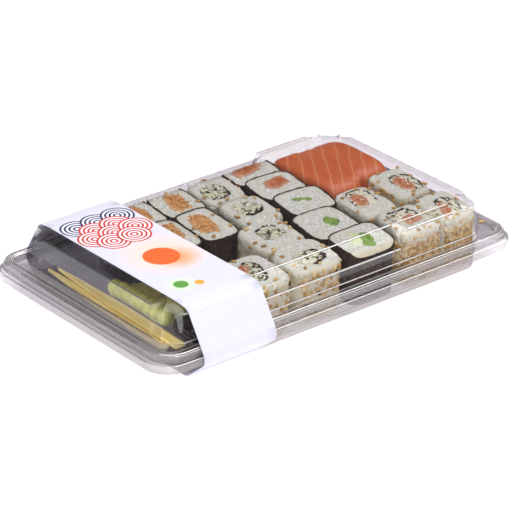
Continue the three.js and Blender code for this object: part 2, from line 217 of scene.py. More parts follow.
# The rim is tinted greyer, a painted shade, and a little milky, a painted lift of the shade under the band, so
# what lies under it shows as if through mist.
pet_rim = clear_sheet("Clear PET of the rim, painted grey", "#eceaed", "#b8b5ba", 0.05, 0.11)
print("materials:", pet.name, pet_bend.name, pet_ridge.name, pet_rim.name)

# %% [markdown]
# ## Lid
# The lid is a shallow dome with cut corners on a flat flange with a raised bead and a short
# skirt. Its long sides drop in the middle, where the paper band sits and where the sheet is
# pressed inwards. A subdivided box would lose these flats, so the lid is a skin over rings that
# repeat the solid's own sizes, with a point wherever a side changes height.

# %% Lid sizes
CORNER_STEPS = 7
LID_FLANGE, LID_FOOT = (120, 75.2, 13), (109, 65.3, 8.5)
LID_SHOULDER, LID_TOP = (107.4, 64.2, 8), (99.5, 56, 7.5)
FLANGE_Z, TOP_Z, BEAD_RISE, SKIRT_Z = 21.5, 40, 0.8, 17.8
WAIST_Z, PAD_Z, CORNER_Z = 28.8, 38.9, 37.2
LONG_STATIONS, END_STATIONS = (47, 51, 87.5, 91), (47.5, 50.5)
WAIST_END, PAD_END, END_PAD = 48, 88, 48


def pack_ring(size, height, bulge=1.0, grow=0.0, long_stations=LONG_STATIONS, end_stations=END_STATIONS):
    """A rounded rectangle with extra points. Height is a number or a function of x, y and side."""
    half_x, half_y, corner = size[0] + grow, size[1] + grow, size[2] + grow
    quarter = [(half_x, y, "end") for y in (0,) + tuple(end_stations)]
    for i in range(CORNER_STEPS + 1):
        share = i / CORNER_STEPS
        angle = share * math.pi / 2
        arc = (half_x - corner + corner * math.cos(angle), half_y - corner + corner * math.sin(angle))
        chord = (half_x - corner * share, half_y - corner * (1 - share))
        quarter.append((chord[0] + (arc[0] - chord[0]) * bulge,
                        chord[1] + (arc[1] - chord[1]) * bulge, "corner"))
    quarter += [(x, half_y, "long") for x in reversed(long_stations)]
    ring = []
    for sx, sy, backwards in ((1, 1, False), (-1, 1, True), (-1, -1, False), (1, -1, True)):
        part = [(sx * x, sy * y, side) for x, y, side in quarter]
        ring += part[::-1] if backwards else part
    tidy = [p for i, p in enumerate(ring) if math.dist(p[:2], ring[i - 1][:2]) > 1e-6]
    return [(x, y, height(x, y, side) if callable(height) else height) for x, y, side in tidy]


def shoulder_height(x, y, side):
    """The bend under the lid's top is low in the middle of the long sides and at the cut corners."""
    if side == "long":
        return WAIST_Z if abs(x) < WAIST_END else PAD_Z if abs(x) < PAD_END else CORNER_Z
    return PAD_Z if side == "end" and abs(y) < END_PAD else CORNER_Z


print("points of a lid ring:", len(pack_ring(LID_TOP, TOP_Z)))

# %% [markdown]
# A heated sheet never folds to a sharp edge, so the bends are rounded by a bevel. The strips
# of the bends get a painted shade line, the crests of the long sides a painted white highlight,
# the rim a painted grey shade with a milky lift, and the large panels are shaded flat, so that
# they reflect as flat panels do. Solidify then gives the skin the sheet's thickness inwards.

# %% Bends and sheet
SHEET = 0.5
SKIRT_Y, UPRIGHT = 72, 0.5
RIDGE_Y = 52  # the long sides, whose bend crests carry the painted highlight
SHORT_STRIP = 8  # mm: shorter strips lie in the corners of the dome and stay clear
RUNS_ALONG, FACES_END, LEVEL = 0.9, 0.3, 0.985  # parts of a direction along x, x and z
SHEET_LOOKS = [pet, pet_bend, pet_ridge, pet_rim]
CLEAR, BEND, RIDGE, RIM = range(4)


def bend_edges(bm, low, high, angle, shortest=0.0):
    """Edges between two heights where the sheet turns; short ones would choke the bevel."""
    return [e for e in bm.edges
            if len(e.link_faces) == 2 and e.calc_face_angle() > math.radians(angle)
            and e.calc_length() > shortest and all(low <= v.co.z <= high for v in e.verts)]


def round_bends(bm, edges, width):
    """Rounds bends of the sheet. Their strips get a painted shade line, and the crests of the long sides a
    painted white highlight.
    """
    strips = bmesh.ops.bevel(bm, geom=edges, offset=width, segments=3, profile=0.5,
                             affect="EDGES", material=-1, clamp_overlap=True)["faces"]
    for face in strips:
        face.material_index = BEND
    for face in strips:
        sides = sorted(face.edges, key=lambda e: e.calc_length())[-2:]
        middle = all(other in strips for e in sides for other in e.link_faces)
        centre, longest = face.calc_center_median(), sides[-1]
        along_x = abs(longest.verts[0].co.x - longest.verts[1].co.x) / longest.calc_length()
        long_side = abs(centre.y) > RIDGE_Y
        corner = centre.z > FLANGE_Z + 2 and (
            longest.calc_length() < SHORT_STRIP or (long_side and along_x < RUNS_ALONG))
        top_strip = face.normal.z > LEVEL and abs(centre.y) < LID_TOP[1] + 0.2
        if corner or (long_side and abs(face.normal.x) > FACES_END):
            face.material_index = CLEAR
        # The crests of the long sides get the painted white highlight.
        elif long_side and (middle or top_strip):
            face.material_index = RIDGE


def tint_rim(bm, reach):
    """Gives the flange ends, beyond a reach along x, and the skirts all round the rim's painted grey shade and
    milky lift.
    """
    for face in bm.faces:
        middle = face.calc_center_median()
        skirt = abs(middle.y) > SKIRT_Y and abs(face.normal.z) < UPRIGHT
        if face.material_index == CLEAR and (skirt or abs(middle.x) > reach):
            face.material_index = RIM


def face_outwards(bm, z_sign):
    """Turns an open skin so that its largest flat looks up or down."""
    bmesh.ops.recalc_face_normals(bm, faces=bm.faces)
    if max(bm.faces, key=lambda f: f.calc_area()).normal.z * z_sign < 0:
        bmesh.ops.reverse_faces(bm, faces=bm.faces)


def sheet_modifiers(piece, thickness, flat_area):
    """Gives a skin its sheet's thickness, inwards. Panels above an area in mm2 are shaded flat."""
    solid = piece.modifiers.new("Sheet", "SOLIDIFY")
    solid.thickness, solid.offset, solid.use_even_offset = thickness * MM, -1, True
    for panel in piece.data.polygons:
        panel.use_smooth = panel.material_index in (BEND, RIDGE) or panel.area < flat_area * MM * MM


print("looks of the sheet:", len(SHEET_LOOKS))

# %% Lid
# Bends to round: lowest and highest z, least angle in degrees and least length in mm.
DOME_BENDS, TOP_BENDS, RIM_BENDS = (24, 41, 12, 3), (TOP_Z - 0.1, 41, 5, 10), (21, 23, 12, 1.2)
DOME_ROUND, RIM_ROUND = 0.7, 0.4
FLAT_PANEL = 60
lid_mesh = bmesh.new()
ring_skin(lid_mesh, [
    pack_ring(LID_FLANGE, SKIRT_Z, grow=0.3), pack_ring(LID_FLANGE, FLANGE_Z),
    pack_ring(LID_FLANGE, FLANGE_Z + BEAD_RISE, grow=-1),
    pack_ring(LID_FLANGE, FLANGE_Z + BEAD_RISE, grow=-4),
    pack_ring(LID_FLANGE, FLANGE_Z, grow=-5), pack_ring(LID_FOOT, FLANGE_Z, 0.25),
    pack_ring(LID_SHOULDER, shoulder_height, 0.2), pack_ring(LID_TOP, TOP_Z, 0.2)], cap_start=None)
top_edges = [e for e in bend_edges(lid_mesh, *TOP_BENDS) if abs(e.verts[0].co.y) > RIDGE_Y]
round_bends(lid_mesh, list(dict.fromkeys(bend_edges(lid_mesh, *DOME_BENDS) + top_edges)), DOME_ROUND)
round_bends(lid_mesh, bend_edges(lid_mesh, *RIM_BENDS), RIM_ROUND)
tint_rim(lid_mesh, LID_FOOT[0])
face_outwards(lid_mesh, 1)
lid = make_piece("lid_sheet", lid_mesh, SHEET_LOOKS, ["lid"])
sheet_modifiers(lid, SHEET, FLAT_PANEL)
print("lid faces:", len(lid.data.polygons))

# %% [markdown]
# ## Tray
# The tray is the same sheet turned the other way up: a flange with a turned-down lip, a
# well for the food and, under the band, a raised shelf for the sachets and picks with a small
# step in front of it. The floor is stitched across the last ring, one flat for each level.

# %% Tray
TRAY_FLANGE, TRAY_RIM, TRAY_BOTTOM = (123.2, 77.6, 15), (108.4, 64.8, 10), (106.2, 63, 9)
TRAY_FLANGE_Z, LIP_Z, SHELF_Z, CHANNEL_Z = 17.5, 13.2, 12, 1
SHELF_X, CHANNEL_X, STEP_RUN, NEAR = -59.6, -49.2, 0.4, 0.01
TRAY_STATIONS = tuple(sorted((-SHELF_X - STEP_RUN, -SHELF_X, -CHANNEL_X - STEP_RUN, -CHANNEL_X)))
TRAY_BENDS, TRAY_ROUND = (-1, 18, 20), 0.7


def floor_height(x, y, side):
    """The tray's floor: shelf, step and well, told by the place along the tray."""
    return SHELF_Z if x <= SHELF_X + NEAR else CHANNEL_Z if x <= CHANNEL_X + NEAR else 0.0


def tray_ring(size, height, grow=0.0):
    """A ring of the tray, with points where its floor changes height."""
    return pack_ring(size, height, grow=grow, long_stations=TRAY_STATIONS, end_stations=(40,))


tray_mesh = bmesh.new()
floor_loop = ring_skin(tray_mesh, [
    tray_ring(TRAY_FLANGE, LIP_Z, -SHEET), tray_ring(TRAY_FLANGE, TRAY_FLANGE_Z - SHEET, -SHEET - 0.4),
    tray_ring(TRAY_RIM, TRAY_FLANGE_Z - SHEET), tray_ring(TRAY_BOTTOM, floor_height)],
    cap_start=None, cap_end=None)
for level in (SHELF_Z, CHANNEL_Z, 0.0):
    tray_mesh.faces.new([v for v in floor_loop if abs(v.co.z - level) < NEAR])
for upper in (SHELF_X, CHANNEL_X):
    lower = upper + STEP_RUN
    corners = [next(v for v in floor_loop if abs(v.co.x - x) < NEAR and v.co.y * side > 0)
               for x, side in ((upper, -1), (lower, -1), (lower, 1), (upper, 1))]
    tray_mesh.faces.new(corners)
round_bends(tray_mesh, bend_edges(tray_mesh, *TRAY_BENDS), TRAY_ROUND)
tint_rim(tray_mesh, TRAY_RIM[0])
face_outwards(tray_mesh, -1)
tray = make_piece("tray_sheet", tray_mesh, SHEET_LOOKS, ["tray_base"])
sheet_modifiers(tray, SHEET, FLAT_PANEL)
print("tray faces:", len(tray.data.polygons))

# %% [markdown]
# ## Paper band
# A sleeve of thin white card is folded round the pack. Its section follows the lid's flat
# top, the sloping sides and the flange, and closes under the tray. The card cannot fold to a
# knife edge, so every fold is rounded by a bevel before the card gets its thickness. The
# print is a plain pattern of its own: fans of navy and coral arcs, an orange disc and small
# green and yellow dots over soft washes. Each is a disc worked out from its distance to a
# point, so the print needs no picture and stays sharp at any size.

# %% Card material and print
# White card gives the eye the largest bright, matt surface in the picture, with a cool cast.
BAND_X = (-97.2, -50.2)
PRINT_LOW_Z = 30
card = new_material("White printed card")
card_place = add_node(card, "TexCoord").outputs["Object"]
card_height = add_node(card, "SeparateXYZ", {0: card_place}).outputs["Z"]
card_top = add_node(card, "Math", {0: card_height, 1: PRINT_LOW_Z * MM},
                    operation="GREATER_THAN").outputs[0]
card_flat = add_node(card, "VectorMath", {0: card_place, 1: (1.0, 1.0, 0.0)},
                     operation="MULTIPLY").outputs[0]
card_grain = add_node(card, "TexNoise",
                      {"Vector": card_place, "Scale": 900.0, "Detail": 3.0}).outputs[0]
ink = add_node(card, "ValToRGB", {0: card_grain}, [(0.3, "#cecddb"), (0.7, "#d4d3e2")]).outputs[0]


def print_disc(below, centre, radius, stripes, inks, edge=0.0):
    """Prints a disc of concentric stripes over the colour below; an edge lets it fade."""
    away = add_node(card, "VectorMath", {0: card_flat, 1: (centre[0] * MM, centre[1] * MM, 0.0)},
                    operation="DISTANCE").outputs["Value"]
    share = add_node(card, "Math", {0: away, 1: radius * MM}, operation="DIVIDE").outputs[0]
    turns = add_node(card, "Math", {0: share, 1: float(stripes)}, operation="MULTIPLY").outputs[0]
    part = add_node(card, "Math", {0: turns}, operation="FRACT").outputs[0]
    line = add_node(card, "Math", {0: part, 1: 0.5}, operation="GREATER_THAN").outputs[0]
    tone = add_node(card, "Mix", {0: line, 6: linear(inks[0]), 7: linear(inks[1])},
                    data_type="RGBA").outputs[2]
    fade = add_node(card, "MapRange",
                    {0: share, 1: 1.0, 2: 1.0 - edge - 0.01, 3: 0.0, 4: 1.0}).outputs[0]
    inside = add_node(card, "Math", {0: fade, 1: card_top}, operation="MULTIPLY").outputs[0]
    return add_node(card, "Mix", {0: inside, 6: below, 7: tone}, data_type="RGBA").outputs[2]


PALE, CORAL, NAVY = "#ecebf4", "#c43a2c", "#232c58"
WASHES = (((-70, -8), 26, "#f2cfbd"), ((-66, -16), 14, "#e9a277"), ((-84, -42), 9, "#cfe0b4"))
FAN, FAN_X, FAN_PITCH, FAN_LINES = 9.5, -87, 1.4, 4
FAN_ROWS = ((44, NAVY), (36, CORAL), (28, CORAL), (20, CORAL))
DOTS = (((-72, -10), 10, "#d8632e"), ((-84, -42), 4, "#5d9444"), ((-75, -46), 2.6, "#e0a03a"))
for centre, radius, wash in WASHES:
    ink = print_disc(ink, centre, radius, 1, (wash, wash), 0.7)
for row, (y, shade) in enumerate(FAN_ROWS):
    for column in range(3 - row % 2):
        centre = (FAN_X + FAN * FAN_PITCH * (column + 0.5 * (row % 2)), y)
        ink = print_disc(ink, centre, FAN, FAN_LINES, (PALE, shade))
for centre, radius, solid in DOTS:
    ink = print_disc(ink, centre, radius, 1, (solid, solid))
card_surface = add_node(card, "BsdfPrincipled", {
    "Base Color": ink, "Roughness": 0.55, "Specular IOR Level": 0.3})
card_glow = add_node(card, "BsdfTranslucent", {"Color": linear("#e6e4f0")})
close_material(card, add_node(
    card, "MixShader", {0: 0.12, 1: card_surface.outputs[0], 2: card_glow.outputs[0]}))
print("card nodes:", len(card.node_tree.nodes))

# %% Paper band
BAND_SECTION = ((56, 40), (64.2, 38.9), (74.9, 21.9), (77.6, 17.5), (77.6, 13.2), (63, 1))
CARD, CARD_OUT, CARD_STEPS = 0.35, 0.72, 6
FOLD_ANGLE, FOLD_ROUND, FLAT_CARD = 5, 2.4, 20
section = ([Vector((y, z)) for y, z in BAND_SECTION]
           + [Vector((-y, z)) for y, z in reversed(BAND_SECTION)])


def grown_section(points, distance):
    """Moves every side of a clockwise section outwards by a distance."""
    grown = []
    for i, point in enumerate(points):
        before = (point - points[i - 1]).normalized()
        after = (points[(i + 1) % len(points)] - point).normalized()
        out_before, out_after = Vector((-before.y, before.x)), Vector((-after.y, after.x))
        grown.append(point + (out_before + out_after) * distance / (1 + out_before.dot(out_after)))
    return grown


outside = grown_section(section, CARD_OUT)
band_mesh = bmesh.new()
band_stations = [BAND_X[0] + (BAND_X[1] - BAND_X[0]) * i / CARD_STEPS for i in range(CARD_STEPS + 1)]
ring_skin(band_mesh, [[(x, p.x, p.y) for p in outside] for x in band_stations],
          cap_start=None, cap_end=None)
folds = [e for e in band_mesh.edges
         if len(e.link_faces) == 2 and e.calc_face_angle() > math.radians(FOLD_ANGLE)]
bmesh.ops.bevel(band_mesh, geom=folds, offset=FOLD_ROUND, segments=4, profile=0.5,
                affect="EDGES", material=-1, clamp_overlap=True)
bmesh.ops.recalc_face_normals(band_mesh, faces=band_mesh.faces)
band = make_piece("band_card", band_mesh, [card], ["paper_band"])
sheet_modifiers(band, CARD, FLAT_CARD)
print("band faces:", len(band.data.polygons))

# %% [markdown]
# ## Food materials
# Each food gets the colour it has in the picture, broken up at its own scale: rice by the
# tone of its grains, seaweed by its fibres, salmon by its pale fat, soft cheese by specks of
# herb. Moist surfaces get a little gloss; rice, fish and cheese let some light in.

# %% Food materials
TONE_SHARE = 0.7
DEEP_FROM, DEEP_TO = 0.0335, 0.03  # heights in m between which rice is painted darker and warmer: painted shade on the sides below the faces


def food(name, stops, spot_mm, roughness, bump=0.3, stretch=(1.0, 1.0, 1.0),
         soft=0.0, tone=None, rim=None, low=None, specular=0.5):
    """A moist food: a spotty colour at a true scale, a fine bump and light below the skin; a low colour is
    painted shade towards the bottom.
    """
    material = new_material(name)
    place = add_node(material, "TexCoord").outputs["Object"]
    stretched = add_node(material, "Mapping", {"Vector": place, "Scale": stretch}).outputs[0]
    spots = add_node(material, "TexNoise", {
        "Vector": stretched, "Scale": 1000.0 / spot_mm, "Detail": 4.0, "Roughness": 0.6}).outputs[0]
    source = spots
    if tone:
        own = add_node(material, "Attribute", attribute_name=tone).outputs["Fac"]
        source = add_node(material, "Mix", {0: TONE_SHARE, 2: spots, 3: own}, data_type="FLOAT").outputs[0]
    colour = add_node(material, "ValToRGB", {0: source}, stops).outputs[0]
    if rim:
        edge = add_node(material, "Attribute", attribute_name="edge").outputs["Fac"]
        pale = add_node(material, "MapRange", {0: edge, 1: 0.55, 2: 1.0, 3: 0.0, 4: 0.75}).outputs[0]
        colour = add_node(material, "Mix", {0: pale, 6: colour, 7: linear(rim)},
                          data_type="RGBA").outputs[2]
    # A low colour is painted shade: the food grows darker towards the bottom.
    if low:
        height = add_node(material, "SeparateXYZ", {0: place}).outputs["Z"]
        deep = add_node(material, "MapRange",
                        {0: height, 1: DEEP_FROM, 2: DEEP_TO, 3: 0.0, 4: 0.6}).outputs[0]
        colour = add_node(material, "Mix", {0: deep, 6: colour, 7: linear(low)},
                          data_type="RGBA").outputs[2]
    relief = add_node(material, "Bump", {"Strength": bump, "Distance": 0.0004, "Height": spots}).outputs[0]
    return close_material(material, add_node(material, "BsdfPrincipled", {
        "Base Color": colour, "Roughness": roughness, "Specular IOR Level": specular,
        "Normal": relief, "Subsurface Weight": soft,
        "Subsurface Radius": (1.0, 0.75, 0.6), "Subsurface Scale": 0.0025}))


# Rice gives the pale, slightly warm mass of every roll; single grains differ a little in tone. Below the faces
# its sides are painted darker and warmer as shade.
rice = food("Sushi rice", [(0.2, "#d0cfc0"), (0.8, "#e8e7da")], 2.2, 0.42, 0.15,
            soft=0.5, low="#d6c69c")
grain_rice = food("Rice grain", [(0.05, "#dcdccf"), (0.5, "#eae9de"), (0.95, "#f6f5ec")],
                  1.2, 0.38, 0.08, soft=0.5, tone="tone", low="#dccca4")
# Seaweed gives the nearly black rims, with brown where light catches its fibres.
nori = food("Roasted seaweed", [(0.3, "#2a1f1f"), (0.55, "#41312c"), (0.8, "#665147")],
            1.3, 0.7, 0.7, (1.0, 1.0, 0.5), specular=0.15)
# Soft cheese gives a warm cream, darkened by chopped herbs where it has them.
herb_cheese = food("Soft cheese with herbs", [
    (0.34, "#55643f"), (0.43, "#a9ae8a"), (0.5, "#d8d8bc"), (0.8, "#eeedd8")], 1.8, 0.4, 0.7, soft=0.1)
cream_cheese = food("Soft cheese", [(0.3, "#dcd8c0"), (0.7, "#f2eed8")], 2.5, 0.4, 0.4, soft=0.1)
# Raw and cooked fish give the warm colours of the tray, paler towards the rice.
salmon_core = food("Salmon piece", [
    (0.25, "#ac5630"), (0.5, "#c27248"), (0.62, "#d08e68"), (0.75, "#dcb498")],
    2.6, 0.3, 0.5, (1.0, 0.6, 1.0), soft=0.15, rim="#d8ae92")
orange_core = food("Orange seafood filling", [(0.25, "#a87236"), (0.42, "#d49650"), (0.7, "#e8bc84")],
                   1.4, 0.4, 0.8, rim="#dcb88c")
# Cucumber gives the fresh green centres, its flesh almost white, its skin almost black.
cucumber = food("Cucumber with skin", [(0.3, "#5a8232"), (0.5, "#84a64a"), (0.8, "#b4c886")], 2.6, 0.3, 0.2)
flesh = food("Cucumber flesh", [(0.3, "#cfdaa8"), (0.7, "#e9edd2")], 2.4, 0.3, 0.2)
dark_leaf = food("Dark green slice", [(0.3, "#222e18"), (0.7, "#4c6034")], 1.8, 0.35, 0.3)
FOODS = {"rice": rice, "nori": nori, "herb": herb_cheese, "cream": cream_cheese,
         "salmon": salmon_core, "shreds": orange_core,
         "cucumber": cucumber, "flesh": flesh, "leaf": dark_leaf}
print("food materials:", len(FOODS) + 1)

# %% [markdown]
# ## Rolls
# Nine thin rolls wear their seaweed outside, nine thick ones wear the rice outside and hide
# the seaweed round the filling. Each roll is one skin: wall, rim and cut face, with the
# fillings and the inner seaweed set into the face. The outlines repeat the solids'; the walls
# get folds or lumps from noise, so no two rolls are alike. Each skin is drawn upright and then
# settled: packed rolls press against each other at the top, and their cut faces lean.

# %% Roll sizes and fillings
FOOD_Z, FOOD_TOP_Z = 1.9, 34.2
ROLL_POWER = 5
MAKI = {
    "maki_orange_1": (-44, 46.4, 11.4, 13, 0), "maki_orange_2": (-19.2, 45.8, 12.4, 13.2, 0),
    "maki_orange_3": (-45.8, 16.2, 11.2, 14.8, 0), "maki_orange_4": (-22.2, 15, 11.2, 16, 0),
    "maki_salmon_1": (38.2, 52, 15.3, 9.3, 3), "maki_salmon_2": (38, 29.4, 14.8, 11.7, -2),
    "maki_cucumber_1": (37.9, 4.6, 14.9, 11.8, -3), "maki_cucumber_2": (28.6, -24.4, 15, 14.2, 0),
    "maki_cucumber_3": (31.2, -50.4, 15.8, 11.4, 0)}
INSIDE_OUT = {
    "roll_cheese_1": (8.7, 45.8, 12.8, 13.4, 0), "roll_cheese_2": (7.3, 13.2, 13.4, 14.6, 0),
    "roll_cheese_3": (-3.4, -16.6, 15, 14.2, 0), "roll_cheese_4": (-4.8, -47, 15.8, 14, 0),
    "roll_salmon_1": (-39.4, -45, 15.8, 16, 0), "roll_salmon_2": (63, -17, 12.2, 15.2, 0),
    "roll_salmon_3": (66.4, -48.6, 13.8, 13.2, 0), "roll_salmon_4": (93.2, -10.6, 12.1, 15.2, 0),
    "roll_salmon_5": (93.3, -47.4, 12.1, 13.6, 0)}
# Fillings from the bottom up: kind, place from the roll's middle, half sizes and turn in degrees.
# The seaweed inside a thick roll lies round the filling, so it is the lowest, larger block.
FILLINGS = {
    "maki_orange_1": [("shreds", 0, 0, 5.6, 8.8, -8)], "maki_orange_2": [("shreds", 0.8, 0.6, 5.8, 8.8, -12)],
    "maki_orange_3": [("shreds", 2.4, 1.6, 5, 9.6, -12)], "maki_orange_4": [("shreds", -1.4, 1.0, 6, 10.4, -9)],
    "maki_salmon_1": [("salmon", -1.0, 2.4, 10, 4, 10)], "maki_salmon_2": [("salmon", 2.0, 2.0, 8.2, 4.6, 9)],
    "maki_cucumber_1": [("cucumber", -0.7, 1.7, 5.6, 1.3, -28)],
    "maki_cucumber_2": [("cucumber", 3.1, 0.1, 3.8, 4.4, 33)],
    "maki_cucumber_3": [("flesh", -3.3, 1.3, 3.4, 6.2, -24), ("cucumber", 1.4, -2.0, 3.8, 6.2, -15)],
    "roll_cheese_1": [("nori", -2.0, -1.9, 7.8, 7.0, 0), ("herb", -2.0, -1.1, 7.0, 6.8, 0)],
    "roll_cheese_2": [("nori", 0.6, 2.2, 7.3, 6.7, 6), ("herb", -0.7, 3.4, 7.2, 6.2, 6)],
    "roll_cheese_3": [("nori", 1.0, 2.7, 7.7, 6.3, 9), ("herb", 1.6, 1.8, 7.2, 6.2, 9),
                      ("leaf", -1.6, 0.2, 2.6, 2.8, 3)],
    "roll_cheese_4": [("nori", 1.5, -2.9, 8.0, 6.4, 18), ("herb", -0.4, -2.0, 7.4, 5.9, 18)],
    "roll_salmon_1": [("nori", 1.6, 0.2, 5.6, 9.6, -14), ("herb", 0.9, 0.2, 4.6, 8.7, -18),
                      ("salmon", -1.9, 4.0, 2.8, 4.6, -24)],
    "roll_salmon_2": [("nori", 0.4, 3.8, 7.8, 8.6, -6), ("cream", 0.0, 3.0, 7.2, 8.2, -6),
                      ("salmon", -2.2, 2.4, 4.4, 6.6, -9)],
    "roll_salmon_3": [("nori", -0.5, 3.3, 8.6, 7.3, 4), ("cream", -0.6, 2.5, 8.0, 6.9, 4),
                      ("salmon", 1.1, -0.6, 5.6, 4.1, 9)],
    "roll_salmon_4": [("nori", 3.4, -1.6, 6.8, 9.6, 0), ("cream", 3.0, -2.2, 6.2, 9.0, 0),
                      ("salmon", 1.1, -2.4, 4.2, 7.2, 3)],
    "roll_salmon_5": [("nori", 1.2, -1.8, 6.2, 9.2, -14), ("cream", 0.7, -2.4, 5.6, 8.8, -16),
                      ("salmon", -2.4, -3.4, 3.2, 7.0, -26)]}
print("rolls:", len(MAKI) + len(INSIDE_OUT))


# %% [markdown]
# The face of a roll is drawn as rings that shrink towards its middle. Rice on the face
# swells between the rim and the filling; a cell noise of grain size gives it the lumps that
# the separate grains are then set into.

# %% Roll building blocks
RING_POINTS = 96


def lumps(x, y, z, size):
    """Rounded lumps of one grain's size, between 0 in the gaps and about 1 on the crowns."""
    return 1 - min(1.0, noise.voronoi(Vector((x, y, z)) / size)[0][0] * 1.3)


def bumped_ring(outline, centre, share, height, sideways=0.0, upwards=0.0, size=3.0):
    """A ring of an outline shrunk to a share, pushed out and up by the grain lumps."""
    points = []
    for x, y in outline:
        away = Vector((x - centre[0], y - centre[1]))
        bump = lumps(x * share, y * share, height * 0.9, size)
        place = away * share + away.normalized() * sideways * (bump - 1)
        points.append((centre[0] + place.x, centre[1] + place.y, height + upwards * (bump - 0.5)))
    return points


# How ragged a filling's outline is, and how its top lies against the cut face in mm.
RAGGED = {"shreds": 0.3, "herb": 0.26, "salmon": 0.24, "cream": 0.2, "leaf": 0.2,
          "cucumber": 0.08, "flesh": 0.08, "nori": 0.12}
LIFT = {"nori": -0.25, "cream": -0.05, "herb": 0.0, "salmon": 0.2}
# Rings of a filling: share of its outline, height over its top in mm, share of its lumps.
BLOCK_RINGS = ((0.95, -5, 0), (1, -0.5, 0.1), (0.95, -0.1, 0.5), (0.8, 0.05, 0.9), (0.6, 0.05, 1),
               (0.4, 0.05, 1), (0.2, 0.05, 1), (0.05, 0.05, 0.3))
BLOCK_POINTS, BLOCK_POWER, CRUMB = 48, 3, 1.9


def add_block(bm, centre, filling, material, seed):
    """Sets one filling into the face: a soft block with a ragged outline and an uneven top."""
    kind, x, y, half_x, half_y, turn = filling
    block = {"x": centre[0] + x, "y": centre[1] + y, "half_x": half_x, "half_y": half_y, "turn": turn}
    ragged = []
    for px, py in soft_ring(block, BLOCK_POINTS, BLOCK_POWER, source_phases(seed)):
        spot = Vector((px, py, seed))
        wobble = 1 + RAGGED[kind] * (noise.noise(spot / 3.4) + 0.6 * noise.noise(spot / 1.2))
        ragged.append((block["x"] + (px - block["x"]) * wobble,
                       block["y"] + (py - block["y"]) * wobble))
    swell = 0.2 if kind == "nori" else 0.3 + 2.5 * RAGGED[kind]
    top = FOOD_TOP_Z + LIFT.get(kind, 0.1)
    edge = bm.verts.layers.float.get("edge") or bm.verts.layers.float.new("edge")
    before = len(bm.verts)
    rings = [bumped_ring(ragged, (block["x"], block["y"]), share, top + z, 0, up * swell, CRUMB)
             for share, z, up in BLOCK_RINGS]
    ring_skin(bm, rings, [material] * (len(rings) - 1), material, material)
    bm.verts.ensure_lookup_table()
    for vert in bm.verts[before:]:
        away = Vector((vert.co.x - block["x"], vert.co.y - block["y"]))
        away = Matrix.Rotation(math.radians(-turn), 2) @ away
        reach = (abs(away.x) / half_x) ** BLOCK_POWER + (abs(away.y) / half_y) ** BLOCK_POWER
        vert[edge] = min(1.0, reach ** (1 / BLOCK_POWER))


print("kinds of filling:", len(RAGGED))

# %% [markdown]
# The lid's low slanted sides press on the food beneath them, so nothing may stand higher than
# that slope. The soft tops also spread, and a cut face stands higher at its far edge.

# %% Packed rolls
PRESS = Vector((TOP_Z - WAIST_Z, LID_SHOULDER[1] - LID_TOP[1])).normalized()
PRESS_CLEAR, PRESS_X = 1.2, 51
ROLLS = {**MAKI, **INSIDE_OUT}
FACE_FAR, FACE_NEAR = 2.4, -0.8  # how the far and near edge of a cut face stand off its level
SPREAD, SOFT_TOP, SOFT_RISE = 0.9, 10, 8  # how far, from what depth and how fast a top spreads


def pressed_height(middle_x, y):
    """How high food may stand under the lid's slanted side, for a piece whose middle is at x."""
    if abs(middle_x) > PRESS_X:
        return TOP_Z
    return TOP_Z + (PRESS.x * (LID_TOP[1] - abs(y)) - PRESS_CLEAR) / PRESS.y


def settle(name, x, y, z):
    """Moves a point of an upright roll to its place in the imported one, spread and leaning."""
    middle_x, middle_y, half_x, half_y = ROLLS[name][:4]
    rise = min(1.0, max(0.0, (z - FOOD_TOP_Z + SOFT_TOP) / SOFT_RISE))
    spread = 1 + SPREAD * rise / min(half_x, half_y)
    share = min(1.0, max(-1.0, (y - middle_y) / half_y))
    z += rise * (FACE_FAR + FACE_NEAR + (FACE_FAR - FACE_NEAR) * share) / 2
    return middle_x + (x - middle_x) * spread, middle_y + (y - middle_y) * spread, z


print("highest food at the front wall:", round(pressed_height(0, 62), 1), "mm")

# %% [markdown]
# A thin roll's wall is smooth seaweed with slight folds and a torn, upright rim. A thick
# roll's wall is rice: lumps of grain size push it in and out, and it curves over into the
# face. Both walls end in the same face of shrinking rings.

# %% Walls and faces
NORI_THICK, NORI_IN, NORI_WAVE, TORN, TORN_LOW = 0.42, 0.993, 0.16, 0.45, 0.12
NORI_FOOT, RICE_FOOT = 0.94, 0.95  # share of the outline that a wall stands on
RICE_LUMP, FACE_LUMP, FACE_SINK = 0.3, 0.45, 0.35
UNEVEN = 0.05  # hand-cut rolls are drawn in by half a millimetre here and there
LEVELS = [FOOD_Z + (FOOD_TOP_Z - FOOD_Z) * i / 16 for i in range(17)]
RICE_RIM = ((0.988, 3.4), (0.97, 2.0), (0.945, 1.1), (0.91, 0.6))
RICE_FACE = 0.88
FACE_SHARES = (0.88, 0.8, 0.7, 0.6, 0.5, 0.4, 0.3, 0.2, 0.1, 0.03)


def seaweed_wall(outline, centre, small, seed):
    """Rings of a wall of seaweed and of its torn rim, and the share where the face begins."""
    inner = 1 - NORI_THICK / small
    rings = []
    for z in LEVELS[:-1]:
        share = NORI_FOOT if z == LEVELS[0] else 1
        rings.append([
            (px + NORI_WAVE * noise.noise(Vector((px, py * 1.3, z * 0.5)) / 3 + Vector((seed, 0, 0))),
             py + NORI_WAVE * noise.noise(Vector((py, px, z * 0.5)) / 3 + Vector((0, seed, 0))), pz)
            for px, py, pz in bumped_ring(outline, centre, share * NORI_IN, z)])
    torn = [TORN * noise.noise(Vector((px, py, seed)) / 2.2) for px, py in outline]
    # Over the torn rim and down inside it: share of the outline and depth in mm.
    for share, drop in ((NORI_IN, 0.25), (0.988, 0.0), (inner - 0.006, 0.0), (inner - 0.012, 0.9)):
        rings.append([(px, py, FOOD_TOP_Z - drop + (torn[i] if drop < 0.5 else 0) - TORN_LOW)
                      for i, (px, py, pz) in enumerate(bumped_ring(outline, centre, share, 0))])
    return rings, inner - 0.02


